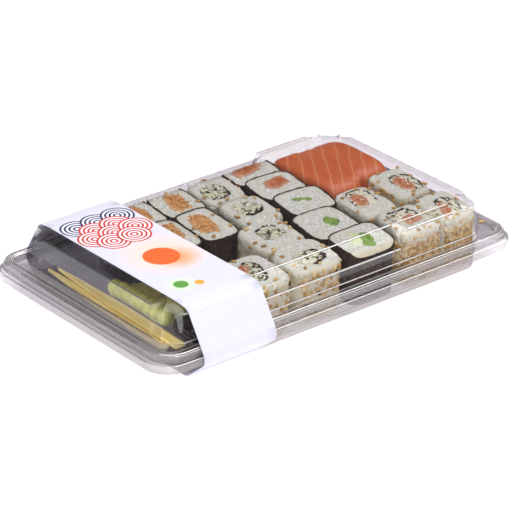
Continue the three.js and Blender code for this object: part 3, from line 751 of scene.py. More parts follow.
def rice_wall(outline, centre, small):
    """Rings of a wall of rice that curves over into the face, and the share where that begins."""
    rings = []
    for z in LEVELS[:-2]:
        share = RICE_FOOT if z == LEVELS[0] else 1
        rings.append(bumped_ring(outline, centre, share * (1 - 0.15 / small), z, RICE_LUMP))
    rings += [bumped_ring(outline, centre, share, FOOD_TOP_Z - drop, RICE_LUMP, RICE_LUMP)
              for share, drop in RICE_RIM]
    return rings, RICE_FACE


print("wall levels:", len(LEVELS))

# %% Rolls
outlines = {}
for index, (name, (x, y, half_x, half_y, turn)) in enumerate(ROLLS.items()):
    seaweed_out = name in MAKI
    seed = 1000 + 37 * (index if seaweed_out else 50 + index - len(MAKI))
    piece = {"x": x, "y": y, "half_x": half_x, "half_y": half_y, "turn": turn}
    outline = []
    for px, py in soft_ring(piece, RING_POINTS, ROLL_POWER, source_phases(seed)):
        pull = 1 - UNEVEN * max(0.0, noise.noise(Vector((px, py, seed)) / 7))
        outline.append((x + (px - x) * pull, y + (py - y) * pull))
    outlines[name] = outline
    centre, small = (x, y), min(half_x, half_y)
    if seaweed_out:
        rings, face_from = seaweed_wall(outline, centre, small, seed)
    else:
        rings, face_from = rice_wall(outline, centre, small)
    bands = [1 if seaweed_out else 0] * (len(rings) - 1)
    for share in (face_from,) + FACE_SHARES:
        rings.append(bumped_ring(outline, centre, min(share, face_from), FOOD_TOP_Z - FACE_SINK, 0, FACE_LUMP))
        bands.append(0)
    bm = bmesh.new()
    ring_skin(bm, rings, bands)
    used = list(dict.fromkeys(["rice", "nori"] + [filling[0] for filling in FILLINGS[name]]))
    for number, filling in enumerate(FILLINGS[name]):
        add_block(bm, centre, filling, used.index(filling[0]), seed + number)
    for vert in bm.verts:
        vert.co = settle(name, *vert.co)
        vert.co.z = min(vert.co.z, pressed_height(x, vert.co.y))
    make_piece(name + "_roll", bm, [FOODS[kind] for kind in used], [name])
print("rolls made:", len(outlines))

# %% [markdown]
# ## Nigiri
# Two slices of raw salmon lie over blocks of rice. The slice is a soft cushion with its edge
# turned down; pale lines of fat cross it at a slant, about seven millimetres apart, each a
# shallow groove in the meat. The lines are a wave of position, so both slices share them.

# %% Salmon slice material
# Raw salmon gives the strongest colour in the tray: a bright orange with thin paler lines.
FAT_PITCH, FAT_WARP, FAT_ACROSS = 7.1, 5.0, (0.83, -0.56, 0.06)
slice_fish = new_material("Raw salmon slice")
fish_place = add_node(slice_fish, "TexCoord").outputs["Object"]
fish_warp = add_node(slice_fish, "TexNoise",
                     {"Vector": fish_place, "Scale": 45.0, "Detail": 2.0}).outputs[0]
fish_across = add_node(slice_fish, "VectorMath", {0: fish_place, 1: [part / MM for part in FAT_ACROSS]},
                       operation="DOT_PRODUCT").outputs["Value"]
fish_shift = add_node(slice_fish, "Math", {0: fish_warp, 1: FAT_WARP, 2: fish_across},
                      operation="MULTIPLY_ADD").outputs[0]
fish_turns = add_node(slice_fish, "Math", {0: fish_shift, 1: FAT_PITCH}, operation="DIVIDE").outputs[0]
fish_saw = add_node(slice_fish, "Math", {0: fish_turns, 1: 0.5}, operation="PINGPONG").outputs[0]
fish_colour = add_node(slice_fish, "ValToRGB", {0: fish_saw}, [
    (0.0, "#e69c70"), (0.03, "#df8c5e"), (0.08, "#d46c3e"), (0.5, "#d06838")]).outputs[0]
fish_fine = add_node(slice_fish, "TexNoise",
                     {"Vector": fish_place, "Scale": 700.0, "Detail": 3.0}).outputs[0]
fish_bump = add_node(slice_fish, "Bump",
                     {"Strength": 0.15, "Distance": 0.0003, "Height": fish_fine}).outputs[0]
close_material(slice_fish, add_node(slice_fish, "BsdfPrincipled", {
    "Base Color": fish_colour, "Roughness": 0.35, "Normal": fish_bump, "Subsurface Weight": 0.15,
    "Subsurface Radius": (1.0, 0.45, 0.25), "Subsurface Scale": 0.002}))
# One egg of roe on the first slice gives a small, stronger orange dot.
roe = food("Salmon roe", [(0.3, "#d0541c"), (0.7, "#e8742c")], 2.0, 0.15, 0.1, soft=0.2)
print("materials:", slice_fish.name, roe.name)

# %% Nigiri helpers
NIGIRI = {"nigiri_1": (67.6, 30.4, 12.6, 30.2), "nigiri_2": (93.1, 33.4, 12, 27.4)}
NIGIRI_POWER, SLICE_Z, NIGIRI_SEAM_X, SEAM_Z = 5, 17.8, 80.6, 36.9
SAG, NEAR_SAG = {"nigiri_1": 0.8, "nigiri_2": 2.4}, 1.5  # how far a slice hangs down at its ends
# Rings from the bottom up, as a share of the outline and a height in mm.
RICE_BLOCK = ((0.82, FOOD_Z), (0.87, FOOD_Z + 1.4), (0.89, 5), (0.89, 7.5), (0.89, 10), (0.89, 12.5),
              (0.89, 15), (0.88, 17.4), (0.86, 18.6))
CUSHION = ((0.8, SLICE_Z + 0.9), (0.95, SLICE_Z + 0.1), (0.99, SLICE_Z + 0.5), (1, 19.2), (1, 22),
           (1, 25), (0.997, 28), (0.985, 30.5), (0.965, 32.5), (0.935, 34), (0.9, 35), (0.85, 35.8),
           (0.78, 36.4), (0.68, 36.9), (0.55, 37.2), (0.4, 37.3), (0.25, 37.3), (0.1, 37.3), (0.03, 37.3))
INNER, FLANK_Z, CROWN_Z = 0.6, 30, 34
# Along the seam the slices touch but for a hair's breadth, and they part again near their ends.
SEAM_END, SEAM_OPENS, SEAM_HAIR, SEAM_PRESS = 0.92, 5, 0.06, 0.95
GROOVE_WIDE, GROOVE_IN, GROOVE_DOWN = 0.1, 0.15, 0.12  # share of the pitch, then mm
SLICE_HIGH, END_REACH, EDGE_WOBBLE, CROWN_DENT = 20, 20, 0.3, 0.2


def press_to_seam(middle, halves, corner, share, place):
    """Presses the side of a slice against its neighbour along their seam."""
    (x, y), (half_x, half_y), (ox, oy), (px, py, pz) = middle, halves, corner, place
    if (ox - x) * (NIGIRI_SEAM_X - x) > 0 and share > INNER:
        side = min(1.0, max(0.0, (half_y * SEAM_END - abs(oy - y)) / SEAM_OPENS))
        side *= min(1.0, abs(ox - x) / half_x * 1.1)
        seam_x = NIGIRI_SEAM_X - math.copysign(SEAM_HAIR, NIGIRI_SEAM_X - x)
        px += (seam_x - px) * side * min(SEAM_PRESS, (share - INNER) * 3)
        pz += (SEAM_Z - pz) * side * min(1.0, (share - INNER) * 5) if pz > FLANK_Z else 0
    return px, py, pz


def fish_surface(middle, half_y, end_sags, crown, place):
    """Moves a point of a slice: grooves along the fat, an uneven edge, and ends that hang down."""
    (x, y), (px, py, pz) = middle, place
    warp = noise.noise(Vector((px, py, pz)) * 0.045) * 0.5 + 0.5
    across = FAT_ACROSS[0] * px + FAT_ACROSS[1] * py + FAT_WARP * warp
    groove = max(0.0, 1 - abs((across / FAT_PITCH + 0.5) % 1 - 0.5) / GROOVE_WIDE)
    uneven = EDGE_WOBBLE * (0.5 - noise.noise(Vector((px, py, pz)) / 9))
    edge = Vector((px - x, py - y, 0)).normalized() * (GROOVE_IN * groove + uneven)
    far_end, near_end = (min(1.0, max(0.0, (side * (py - y) - half_y + END_REACH) / END_REACH)) ** 2
                         for side in (1, -1))
    sag = (far_end * end_sags[0] + near_end * end_sags[1]) * max(0.0, pz - SLICE_Z) / SLICE_HIGH
    dent = CROWN_DENT * (1 + noise.noise(Vector((px, py, 7)) / 8)) if crown else 0
    return px - edge.x, py - edge.y, pz - sag - GROOVE_DOWN * groove - dent


print("rings of a slice:", len(CUSHION))

# %% Nigiri
ROE_PLACE, ROE_SIZE = (67, 49.4, 36.4), (2.0, 2.0, 1.5)
for index, (name, (x, y, half_x, half_y)) in enumerate(NIGIRI.items()):
    piece = {"x": x, "y": y, "half_x": half_x, "half_y": half_y}
    outline = soft_ring(piece, RING_POINTS, NIGIRI_POWER, source_phases(5000 + 37 * index))
    outlines[name] = outline
    bm = bmesh.new()
    ring_skin(bm, [bumped_ring(outline, (x, y), share, z, 0.5) for share, z in RICE_BLOCK])
    rings = []
    for share, z in CUSHION:
        ring = []
        for corner, place in zip(outline, bumped_ring(outline, (x, y), share, z)):
            place = press_to_seam((x, y), (half_x, half_y), corner, share, place)
            ring.append(fish_surface((x, y), half_y, (SAG[name], NEAR_SAG), z > CROWN_Z, place))
        rings.append(ring)
    ring_skin(bm, rings, [1] * (len(rings) - 1), 1, 1)
    if name == "nigiri_1":
        before = set(bm.faces)
        bmesh.ops.create_icosphere(bm, subdivisions=3, radius=1,
                                   matrix=Matrix.LocRotScale(ROE_PLACE, None, ROE_SIZE))
        for face in set(bm.faces) - before:
            face.material_index = 2
    make_piece(name + "_nigiri", bm, [rice, slice_fish, roe], [name])
print("nigiri made:", len(NIGIRI))

# %% [markdown]
# ## Rice grains
# Short-grain rice is about five millimetres long and half as thick. Grains are set by the
# hundred into the faces of all rolls, the sides of the thick rolls and the nigiri blocks, most
# of each sunk in. One low shape is repeated and joined into one mesh for each kind of food,
# and every grain carries its own tone. A particle system could strew them as well, but places
# worked out row by row keep the grains off the fillings and give the same result each run.

# %% Scatter helper
def shape_of(radii, subdivisions, bend=0.0, taper=0.0):
    """A small rounded shape as points and triangles: an icosphere scaled, bent and tapered."""
    bm = bmesh.new()
    bmesh.ops.create_icosphere(bm, subdivisions=subdivisions, radius=1)
    for vert in bm.verts:
        x, y, z = vert.co
        slim = 1 - taper * max(0.0, x)
        vert.co = (x * radii[0], y * radii[1] * slim + bend * x * x, z * radii[2] * slim)
    points = [vert.co.copy() for vert in bm.verts]
    faces = [[vert.index for vert in face.verts] for face in bm.faces]
    bm.free()
    return points, faces


def scatter(name, shape, places, material, nodes, seed):
    """Joins copies of a shape at places (point, outward direction, turn, scale) into one piece."""
    points, faces = shape
    draw = random.Random(seed)
    verts, polygons, tones = [], [], []
    for place, out, turn, scale in places:
        out = Vector(out).normalized()
        basis = out.to_track_quat("Z", "Y").to_matrix() @ Matrix.Rotation(turn, 3, "Z")
        start = len(verts)
        tone = draw.random()
        verts += [(Vector(place) + basis @ (point * scale)) * MM for point in points]
        polygons += [[start + i for i in face] for face in faces]
        tones += [tone] * len(points)
    mesh = bpy.data.meshes.new(name)
    mesh.from_pydata(verts, [], polygons)
    mesh.attributes.new("tone", "FLOAT", "POINT").data.foreach_set("value", tones)
    mesh.polygons.foreach_set("use_smooth", [True] * len(polygons))
    mesh.materials.append(material)
    piece = bpy.data.objects.new(name, mesh)
    bpy.context.scene.collection.objects.link(piece)
    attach(piece, "root")
    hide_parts(*nodes)
    print(name, len(places), "copies,", len(polygons), "triangles")
    return piece


grain_shape = shape_of((2.3, 1.35, 1.2), 2, bend=0.25)
print("grain triangles:", len(grain_shape[1]))

# %% Places on a side
TILT, ROW_PITCH = 1.5, 0.85


def side_places(draw, outline, z_low, z_high, pitch, sink, keep=1.0, faces=None):
    """Jittered places over an outline's side, or over where its outward direction passes a test."""
    lengths = [math.dist(outline[i - 1], outline[i]) for i in range(len(outline))]
    around = sum(lengths)
    places = []
    rows = max(1, round((z_high - z_low) / (pitch * ROW_PITCH)))
    for row in range(rows):
        columns = round(around / pitch)
        for column in range(columns):
            along = (column + 0.5 * (row % 2) + draw.uniform(-0.3, 0.3)) / columns * around % around
            z = z_low + (z_high - z_low) * (row + 0.5 + draw.uniform(-0.35, 0.35)) / rows
            i = 0
            while along > lengths[i]:
                along -= lengths[i]
                i = (i + 1) % len(lengths)
            a, b = Vector(outline[i - 1]), Vector(outline[i])
            out = Vector((b.y - a.y, a.x - b.x, 0)).normalized()
            if draw.random() > keep or (faces and not faces(out)):
                continue
            spot = a.lerp(b, along / lengths[i])
            places.append(((spot.x - out.x * sink, spot.y - out.y * sink, z),
                           out + Vector((0, 0, draw.uniform(-0.15, 0.15))),
                           draw.gauss(0, TILT), draw.uniform(0.85, 1.12)))
    return places


def in_filling(x, y, filling, margin):
    """Whether a place from the roll's middle lies on a filling."""
    fx, fy, half_x, half_y, turn = filling[1:]
    away = Matrix.Rotation(math.radians(-turn), 2) @ Vector((x - fx, y - fy))
    reach = (abs(away.x) / (half_x + margin)) ** BLOCK_POWER + (abs(away.y) / (half_y + margin)) ** BLOCK_POWER
    return reach < 1


print("rows on a side lie", ROW_PITCH, "of a pitch apart")

# %% Places on a face
NORI_MARGIN, FILLING_MARGIN = 0.9, -0.3  # how far grains keep off the seaweed and the fillings
FACE_ROW_PITCH = 0.87


def face_places(draw, name, centre, halves, pitch, z):
    """Jittered places on a roll's face, beside its fillings and seaweed."""
    places = []
    rows = round(2 * halves[1] / (pitch * FACE_ROW_PITCH))
    columns = round(2 * halves[0] / pitch)
    for row in range(rows):
        for column in range(columns):
            shift = 0.5 + 0.5 * (row % 2) - 0.25
            x = ((column + shift + draw.uniform(-0.3, 0.3)) / columns * 2 - 1) * halves[0]
            y = ((row + 0.5 + draw.uniform(-0.3, 0.3)) / rows * 2 - 1) * halves[1]
            outside = (abs(x) / halves[0]) ** ROLL_POWER + (abs(y) / halves[1]) ** ROLL_POWER > 1
            if outside or any(in_filling(x, y, f, NORI_MARGIN if f[0] == "nori" else FILLING_MARGIN)
                              for f in FILLINGS[name]):
                continue
            places.append(((centre[0] + x, centre[1] + y, z + draw.uniform(-0.15, 0.1)),
                           (draw.uniform(-0.2, 0.2), draw.uniform(-0.2, 0.2), 1),
                           draw.uniform(0, math.pi), draw.uniform(0.8, 1.1)))
    return places


def under_lid(places, name, rest):
    """Moves places with their settled roll; those above the lid's slope go rest mm below it."""
    lowered = []
    for (px, py, pz), out, turn, scale in places:
        px, py, pz = settle(name, px, py, pz)
        limit = pressed_height(ROLLS[name][0], py) - rest
        if pz > limit:
            pz, out = limit, (0, PRESS.x * (1 if py > 0 else -1), PRESS.y)
        lowered.append(((px, py, pz), out, turn, scale))
    return lowered


print("grains keep", NORI_MARGIN, "mm off the seaweed")

# %% Set the grains
# On a face: how far grains keep off the rim and how deep they sink, for thin and thick rolls.
THIN_RIM, THIN_SINK, THICK_RIM, THICK_SINK = 2.9, 1.05, 2.6, 1.15
FACE_PITCH, SIDE_PITCH, SIDE_SINK = 3.0, 3.1, 1.2
NIGIRI_SHARE, NIGIRI_PITCH, NIGIRI_SINK = 0.89, 3.5, 0.9
FACE_REST = 1.0
draw = random.Random(11)


def face_grains(name, rim, sink):
    """Grains on the face of one settled roll."""
    x, y, half_x, half_y = ROLLS[name][:4]
    places = face_places(draw, name, (x, y), (half_x - rim, half_y - rim), FACE_PITCH, FOOD_TOP_Z - sink)
    return under_lid(places, name, FACE_REST)


maki_grains = [place for name in MAKI for place in face_grains(name, THIN_RIM, THIN_SINK)]
scatter("rice_grains_thin_rolls", grain_shape, maki_grains, grain_rice, MAKI, 1)
for kind in ("roll_cheese", "roll_salmon"):
    grains, kin = [], [name for name in INSIDE_OUT if name.startswith(kind)]
    for name in kin:
        sides = side_places(draw, outlines[name], FOOD_Z + 1, FOOD_TOP_Z - 2.4, SIDE_PITCH, SIDE_SINK)
        grains += under_lid(sides, name, SIDE_SINK)
        grains += face_grains(name, THICK_RIM, THICK_SINK)
    scatter("rice_grains_" + kind + "s", grain_shape, grains, grain_rice, kin, 2)
grains = []
for name, (x, y, half_x, half_y) in NIGIRI.items():
    block = [(x + (px - x) * NIGIRI_SHARE, y + (py - y) * NIGIRI_SHARE) for px, py in outlines[name]]
    grains += side_places(draw, block, FOOD_Z + 1, SLICE_Z - 0.5, NIGIRI_PITCH, NIGIRI_SINK)
scatter("rice_grains_nigiri", grain_shape, grains, grain_rice, NIGIRI, 3)

# %% [markdown]
# ## Crumbs, herbs and shreds
# Cut through, soft cheese shows as crumbs with chopped herbs, and the orange filling as short
# shreds. They are small loose shapes strewn over the filling blocks, joined into one mesh for
# each kind.

# %% Places on the fillings
BLOCK_REACH, COVER_MARGIN, CRUMB_REST = 0.65, -0.6, 0.6


def block_places(draw, kinds, pitch, lift, keep=1.0):
    """Jittered places over all fillings of some kinds, lift mm above the cut face."""
    places = []
    for name, fillings in FILLINGS.items():
        x, y = ROLLS[name][:2]
        for kind, fx, fy, half_x, half_y, turn in fillings:
            if kind not in kinds:
                continue
            rows, columns = round(2 * half_y / pitch), round(2 * half_x / pitch)
            for row in range(rows):
                for column in range(columns):
                    a = ((column + 0.5 + draw.uniform(-0.45, 0.45)) / columns * 2 - 1) * half_x
                    b = ((row + 0.5 + draw.uniform(-0.45, 0.45)) / rows * 2 - 1) * half_y
                    spot = Vector((fx, fy)) + Matrix.Rotation(math.radians(turn), 2) @ Vector((a, b))
                    covered = any(f[0] == "salmon" and in_filling(spot.x, spot.y, f, COVER_MARGIN)
                                  for f in fillings)
                    reach = (abs(a) / half_x) ** BLOCK_POWER + (abs(b) / half_y) ** BLOCK_POWER
                    if draw.random() > keep or covered or reach > BLOCK_REACH:
                        continue
                    place = (x + spot.x, y + spot.y, FOOD_TOP_Z + lift + draw.uniform(-0.2, 0.2))
                    out = (draw.uniform(-0.5, 0.5), draw.uniform(-0.5, 0.5), 1)
                    places += under_lid([(place, out, draw.uniform(0, 6.3), draw.uniform(0.6, 1.15))],
                                        name, CRUMB_REST)
    return places


def rolls_with(*kinds):
    """The rolls that hold a filling of some kinds."""
    return [name for name, fillings in FILLINGS.items() if any(f[0] in kinds for f in fillings)]


print("rolls with cheese:", len(rolls_with("herb", "cream")))

# %% Strew the fillings
# Chopped herbs give dark green flecks, the shreds every orange from rust to cream.
herbs = food("Chopped herbs", [(0.1, "#1f3018"), (0.6, "#3c5a2c"), (0.95, "#6f8c4a")],
             1.0, 0.4, 0.2, tone="tone")
shreds = food("Orange seafood shreds", [(0.05, "#b87c38"), (0.5, "#dc9e56"), (0.95, "#f0ce9a")],
              1.0, 0.4, 0.3, tone="tone")
draw = random.Random(17)
crumbs = block_places(draw, ("herb", "cream"), 2.2, -0.15, 0.7)
scatter("cheese_crumbs", shape_of((1.4, 1.15, 0.85), 2), crumbs, cream_cheese,
        rolls_with("herb", "cream"), 6)
flakes = block_places(draw, ("herb",), 1.7, 0.55, 0.32)
scatter("herb_flakes", shape_of((0.8, 0.5, 0.25), 1), flakes, herbs, rolls_with("herb"), 7)
strands = block_places(draw, ("shreds",), 1.5, 0.25, 0.8)
scatter("orange_shreds", shape_of((1.3, 0.45, 0.4), 1), strands, shreds, rolls_with("shreds"), 8)

# %% [markdown]
# ## Sesame
# The thick rolls are turned in toasted sesame. Two of them are coated along the front, the
# others carry a sprinkle. A seed is a flat drop a little over three millimetres long; a few
# are black. One more lies on the lid's flange.

# %% Sesame seeds
# Toasted sesame gives warm tan dots; the black kind only a few dark ones.
tan_seed = food("Toasted sesame", [(0.1, "#a87f40"), (0.5, "#caa260"), (0.9, "#ecd49c")],
                1.0, 0.45, 0.2, tone="tone")
black_seed = food("Black sesame", [(0.2, "#1c1816"), (0.8, "#3a322c")], 1.0, 0.4, 0.2, tone="tone")
seed_shape = shape_of((1.7, 1.1, 0.65), 2, taper=0.4)
# The sides of a roll by their outward direction.
SIDES = {"front": lambda out: out.y < -0.75, "front_left": lambda out: out.y < -0.6 or out.x < -0.8,
         "right": lambda out: out.x > 0.6, "far_right": lambda out: out.x > 0.8,
         "left": lambda out: out.x < -0.3 and out.y < 0.6, "not_right": lambda out: out.x < 0.5,
         "near": lambda out: out.y < -0.3, "not_far": lambda out: out.y < 0.5}
# Coats of seeds: roll, side, heights, pitch and share kept.
COATS = (("roll_salmon_3", "front_left", 4, 27, 2.1, 0.95), ("roll_salmon_3", "front", 27.5, 32, 2.8, 0.35),
         ("roll_salmon_5", "front", 4, 27, 2.1, 0.95), ("roll_salmon_5", "front", 26.5, 32, 2.8, 0.35),
         ("roll_cheese_4", "front", 5, 32, 2.6, 0.55), ("roll_salmon_1", "front", 5, 32, 2.8, 0.4),
         ("roll_cheese_4", "right", 18, 32, 2.6, 0.6), ("roll_salmon_1", "right", 18, 32, 2.8, 0.5),
         ("roll_salmon_4", "left", 22, 33.4, 2.8, 0.45), ("roll_salmon_2", "near", 24, 33.4, 3.0, 0.4),
         ("roll_cheese_3", "not_right", 12, 33.4, 3.2, 0.16), ("roll_cheese_2", "not_far", 24, 33.4, 3.2, 0.2),
         ("roll_cheese_1", "not_far", 26, 33.4, 3.2, 0.14), ("roll_salmon_3", "far_right", 20, 33.2, 3.0, 0.3))
FACE_SEEDS = {"roll_cheese_1": 5, "roll_cheese_2": 7, "roll_cheese_3": 8, "roll_cheese_4": 8,
              "roll_salmon_1": 7, "roll_salmon_2": 6, "roll_salmon_3": 11, "roll_salmon_4": 9,
              "roll_salmon_5": 9, "maki_orange_2": 3, "maki_orange_3": 3, "maki_orange_4": 4}
BLACK_ROLLS, BLACK_SHARE = ["roll_cheese_4", "roll_salmon_1"], 0.12
SEED_SINK, SEED_REST = 0.1, 0.2
STRAY_SEED = ((112.8, -56.6, FLANGE_Z + 0.5), (0, 0, 1), -0.5, 1.15)
print("coats of seeds:", len(COATS))

# %% Strew the seeds
draw = random.Random(29)
seeds, black_seeds = [], []
for name, side, low, high, pitch, keep in COATS:
    coat = side_places(draw, outlines[name], low, high, pitch, SEED_SINK, keep, SIDES[side])
    for place in under_lid(coat, name, SEED_REST):
        dark = name in BLACK_ROLLS and draw.random() < BLACK_SHARE
        (black_seeds if dark else seeds).append(place)
for name, count in FACE_SEEDS.items():
    x, y = ROLLS[name][:2]
    for px, py in draw.sample(outlines[name], count):
        share = draw.uniform(0.72, 0.93)
        place = (x + (px - x) * share, y + (py - y) * share, FOOD_TOP_Z + 0.1)
        out = (draw.uniform(-0.3, 0.3), draw.uniform(-0.3, 0.3), 1)
        seeds += under_lid([(place, out, draw.uniform(0, 6.3), draw.uniform(0.85, 1.1))], name, 0.0)
seeds.append(STRAY_SEED)
sesame_rolls = sorted({name for name, *_ in COATS} | set(FACE_SEEDS))
scatter("sesame_toasted", seed_shape, seeds, tan_seed, sesame_rolls, 4)
scatter("sesame_black", seed_shape, black_seeds, black_seed, BLACK_ROLLS, 5)

# %% [markdown]
# ## Sachets and picks
# On the shelf under the band lie a clear sachet of pickled ginger, a small dark sachet of soy
# sauce and two flat wooden picks. A sachet is a pillow of film drawn as rings, crinkled by
# noise; the ginger shows through it as folded pale slices that bulge along one side, the sauce
# as one dark mass.

# %% Sachet materials
# The film gives almost nothing but a soft shine over what it holds.
film = clear_sheet("Clear sachet film", "#fefefa", "#fbfaf2", 0.12, 0.03, 0.05, 0.12)
# Pickled ginger gives a wet pale yellow-green.
ginger = food("Pickled ginger", [(0.25, "#d2da62"), (0.5, "#e8ee84"), (0.8, "#f6f9b4")],
              5.0, 0.3, 0.3, (0.4, 1.0, 1.0), soft=0.2)
# The sauce fills its film to the edge, which gives one wet near-black body.
soy = food("Soy sauce in film", [(0.3, "#0e0a0a"), (0.7, "#1b1413")], 6.0, 0.18, 0.3)
# The picks give a dry straw colour with long grain.
wood = food("Pale pick wood", [(0.3, "#e6c870"), (0.5, "#f8e290"), (0.75, "#fef2bc")],
            1.1, 0.6, 0.5, (1.0, 0.06, 1.0))
print("sachet film:", film.name)

# %% Sachet helpers
SHELF_TOP = SHELF_Z + 0.3
SACHETS = {"ginger_sachet": (-79, -9.5, 12, 27, 12.6, 0), "soy_sachet": (-77.5, -48.6, 12, 11.2, 12, 1)}
SACHET_POWER, FOLD_SIZE, SLICE_SIZE = 5, 11, 7
SACHET_RINGS = ((0.7, 0.0), (0.92, 0.14), (0.985, 0.34), (0.99, 0.5), (0.975, 0.66), (0.92, 0.81),
                (0.76, 0.92), (0.5, 0.97), (0.25, 0.99), (0.05, 0.99))
FOLD = {"ginger_sachet": 0.42, "soy_sachet": 0.12}  # share of the height lost between the folds
GINGER_SLICES, GINGER_PITCH = 8, 6.1  # folded slices that bulge along the bag's open side
FIRST_SLICE = (-6.4, -5.4, 5.6)  # from the bag's middle, its far end and the shelf
SLICE_BULK = (4.6, 4.3, 5.0)


def film_rings(outline, centre, high, fold):
    """Rings of a crinkled pillow of film that lies on the shelf."""
    rings = []
    for share, height in SACHET_RINGS:
        crinkle = 0.8 if 0.3 < height < 0.95 else 0.2
        rings.append([
            (px, py, SHELF_TOP + high * height * (1 - fold * (1 - lumps(px, py * 0.8, 0, FOLD_SIZE)))
             + crinkle * 0.7 * noise.noise(Vector((px, py, height * 9)) / 4) - crinkle * 0.5)
            for px, py, pz in bumped_ring(outline, centre, share * 0.998, 0, 3 * fold, 0, FOLD_SIZE)])
    rings[0] = [(px, py, SHELF_TOP) for px, py, pz in rings[0]]
    return rings


def ginger_point(centre, px, py, pz):
    """A point of the ginger, a little inside the film and uneven by its slices."""
    bulge = lumps(px, py, pz, SLICE_SIZE)
    lift = 0.3 if pz < SHELF_TOP + 3 else lumps(px, py, 0, SLICE_SIZE) - 1.0
    return (centre[0] + (px - centre[0]) * (0.88 - 0.04 * bulge),
            centre[1] + (py - centre[1]) * (0.95 - 0.03 * bulge),
            SHELF_TOP + (pz - SHELF_TOP) * 0.95 + lift)


def add_slices(bm, x, y_far):
    """Adds the rounded folds of the slices along the open side of the bag."""
    draw, before = random.Random(41), set(bm.faces)
    for step in range(GINGER_SLICES):
        place = (x + FIRST_SLICE[0] + draw.uniform(-0.7, 0.5),
                 y_far + FIRST_SLICE[1] - GINGER_PITCH * step,
                 SHELF_TOP + FIRST_SLICE[2] + draw.uniform(-0.6, 0.8))
        bulk = (SLICE_BULK[0] + draw.uniform(-0.5, 0.3), SLICE_BULK[1] + draw.uniform(-0.6, 0.5),
                SLICE_BULK[2] + draw.uniform(-0.6, 0.4))
        bmesh.ops.create_icosphere(bm, subdivisions=3, radius=1,
                                   matrix=Matrix.LocRotScale(place, None, bulk))
    for face in set(bm.faces) - before:
        face.material_index = 1


print("rings of a sachet:", len(SACHET_RINGS))

# %% Sachets
for name, (x, y, half_x, half_y, high, index) in SACHETS.items():
    piece = {"x": x, "y": y, "half_x": half_x, "half_y": half_y}
    outline = soft_ring(piece, RING_POINTS, SACHET_POWER, source_phases(7000 + 37 * index))
    rings = film_rings(outline, (x, y), high, FOLD[name])
    bm = bmesh.new()
    ring_skin(bm, rings)
    if name == "soy_sachet":
        make_piece(name + "_bag", bm, [soy], [name])
        continue
    inside = [[ginger_point((x, y), *point) for point in ring] for ring in rings]
    ring_skin(bm, inside, [1] * (len(inside) - 1), 1, 1)
    add_slices(bm, x, y + half_y)
    make_piece(name + "_bag", bm, [film, ginger], [name])
print("sachets made:", len(SACHETS))

# %% Picks
PICKS = {"pick_1": ((-95.5, 59.5), (-101, -50), 0), "pick_2": ((-93.5, 53), (-96.3, -57), 1)}
PICK_HALF, PICK_TIP, PICK_THICK, PICK_TAPER, LAYER_GAP = 3.3, 0.3, 1.8, 48, 0.3
PICK_STEPS = 24
for name, (tip, blunt, layer) in PICKS.items():
    tip, blunt = Vector(tip), Vector(blunt)
    along = (blunt - tip).normalized()
    across = Vector((-along.y, along.x))
    low = SHELF_TOP + layer * (PICK_THICK + LAYER_GAP)
    length = (blunt - tip).length
    rings = []
    for step in range(PICK_STEPS + 1):
        far = length * step / PICK_STEPS
        half = PICK_TIP + (PICK_HALF - PICK_TIP) * min(1, far / PICK_TAPER) ** 0.8
        middle = tip + along * far + across * 0.12 * math.sin(far / 9)
        corner = min(0.35, half * 0.4)
        section = [(half, corner), (half, PICK_THICK - corner), (half - corner, PICK_THICK),
                   (corner - half, PICK_THICK), (-half, PICK_THICK - corner), (-half, corner),
                   (corner - half, 0), (half - corner, 0)]
        rings.append([(middle.x + across.x * w, middle.y + across.y * w, low + h) for w, h in section])
    bm = bmesh.new()
    ring_skin(bm, rings)
    make_piece(name + "_wood", bm, [wood], [name], smooth=False)
print("picks made:", len(PICKS))

# %% [markdown]
# ## Light, floor and camera
# The photograph is a packshot: a pure white ground, broad soft light from above and hardly any
# shadow. A large ceiling panel and a front panel give most of the light, a strip at the right
# and a panel at the left draw bright lines on the clear sheet, and the ground glows a little
# itself, as a lit table does. The room gets darker towards the ground, so that the plastic has
# something to mirror. The camera stands 1.6 metres away with a long lens, so the tray is drawn
# almost without perspective.

# %% Studio
scene = bpy.context.scene
scene.view_settings.view_transform = "Standard"
scene.cycles.transparent_max_bounces = 32  # the clear walls stack up, eight would go black
world = bpy.data.worlds.new("Studio room")
world.use_nodes = True
sky_place = add_node(world, "TexCoord").outputs["Generated"]
sky_height = add_node(world, "SeparateXYZ", {0: sky_place}).outputs["Z"]
sky = add_node(world, "ValToRGB", {0: sky_height}, [(0.5, "#58585c"), (0.92, "#ffffff")]).outputs[0]
room = world.node_tree.nodes["Background"]
world.node_tree.links.new(sky, room.inputs["Color"])
room.inputs["Strength"].default_value = 0.6
scene.world = world

AIM = Vector((0.0, 0.0, 0.0207))


def from_angles(azimuth, elevation):
    """The direction from the tray to an azimuth and elevation; azimuth 0 is the front."""
    level = math.cos(elevation)
    return Vector((math.sin(azimuth) * level, -math.cos(azimuth) * level, math.sin(elevation)))


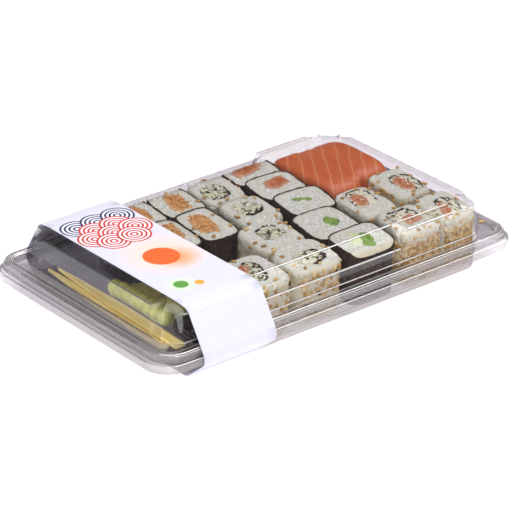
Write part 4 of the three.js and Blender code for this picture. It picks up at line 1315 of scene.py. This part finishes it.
def add_panel(name, azimuth, elevation, distance, size, power):
    """A square soft box that faces the tray."""
    light = bpy.data.lights.new(name, "AREA")
    light.size, light.energy = size, power
    panel = bpy.data.objects.new(name, light)
    panel.location = AIM + from_angles(math.radians(azimuth), math.radians(elevation)) * distance
    panel.rotation_euler = (AIM - panel.location).to_track_quat("-Z", "Y").to_euler()
    scene.collection.objects.link(panel)


# Panels: azimuth, elevation, distance and size in m, power in W.
add_panel("Ceiling panel", 10, 82, 1.3, 1.5, 16.5)
add_panel("Front panel", -20, 38, 1.6, 1.2, 13)
add_panel("Right strip", 95, 55, 1.5, 0.7, 7)
add_panel("Left panel", -95, 30, 1.5, 0.9, 7)
print("panels:", len(bpy.data.lights))

# %% Ground
floor_mesh = bmesh.new()
bmesh.ops.create_grid(floor_mesh, x_segments=8, y_segments=8, size=4)
floor_data = bpy.data.meshes.new("Studio floor")
floor_mesh.to_mesh(floor_data)
floor_mesh.free()
floor = bpy.data.objects.new("Studio floor", floor_data)
scene.collection.objects.link(floor)
# Background paper gives an even white with a trace of tone, lit so that no shadow stays deep.
paper_ground = new_material("White background paper")
paper_place = add_node(paper_ground, "TexCoord").outputs["Object"]
paper_tooth = add_node(paper_ground, "TexNoise", {"Vector": paper_place, "Scale": 40.0}).outputs[0]
paper_tone = add_node(paper_ground, "ValToRGB", {0: paper_tooth}, [
    (0.3, "#f6f5f8"), (0.7, "#faf9fb")]).outputs[0]
close_material(paper_ground, add_node(paper_ground, "BsdfPrincipled", {
    "Base Color": paper_tone, "Roughness": 0.8,
    "Emission Color": linear("#ffffff"), "Emission Strength": 0.5}))
floor_data.materials.append(paper_ground)
print("ground:", floor.name)

# %% Camera
AZIMUTH, ELEVATION, DISTANCE, LENS = math.radians(-39.085), math.radians(26.425), 1.611, 209.6
FRAME_SHIFT = (0.00025, 0.00569, 0.0)  # puts the tray where it is in the picture's frame, in m
back = from_angles(AZIMUTH, ELEVATION)
camera_data = bpy.data.cameras.new("Camera")
camera_data.lens, camera_data.sensor_width = LENS, 36
camera = bpy.data.objects.new("Camera", camera_data)
turn = (-back).to_track_quat("-Z", "Y")
aim = AIM - turn @ Vector(FRAME_SHIFT)
camera.location = aim + back * DISTANCE
camera.rotation_euler = turn.to_euler()
scene.collection.objects.link(camera)
scene.camera = camera
print("camera at", [round(c, 3) for c in camera.location])
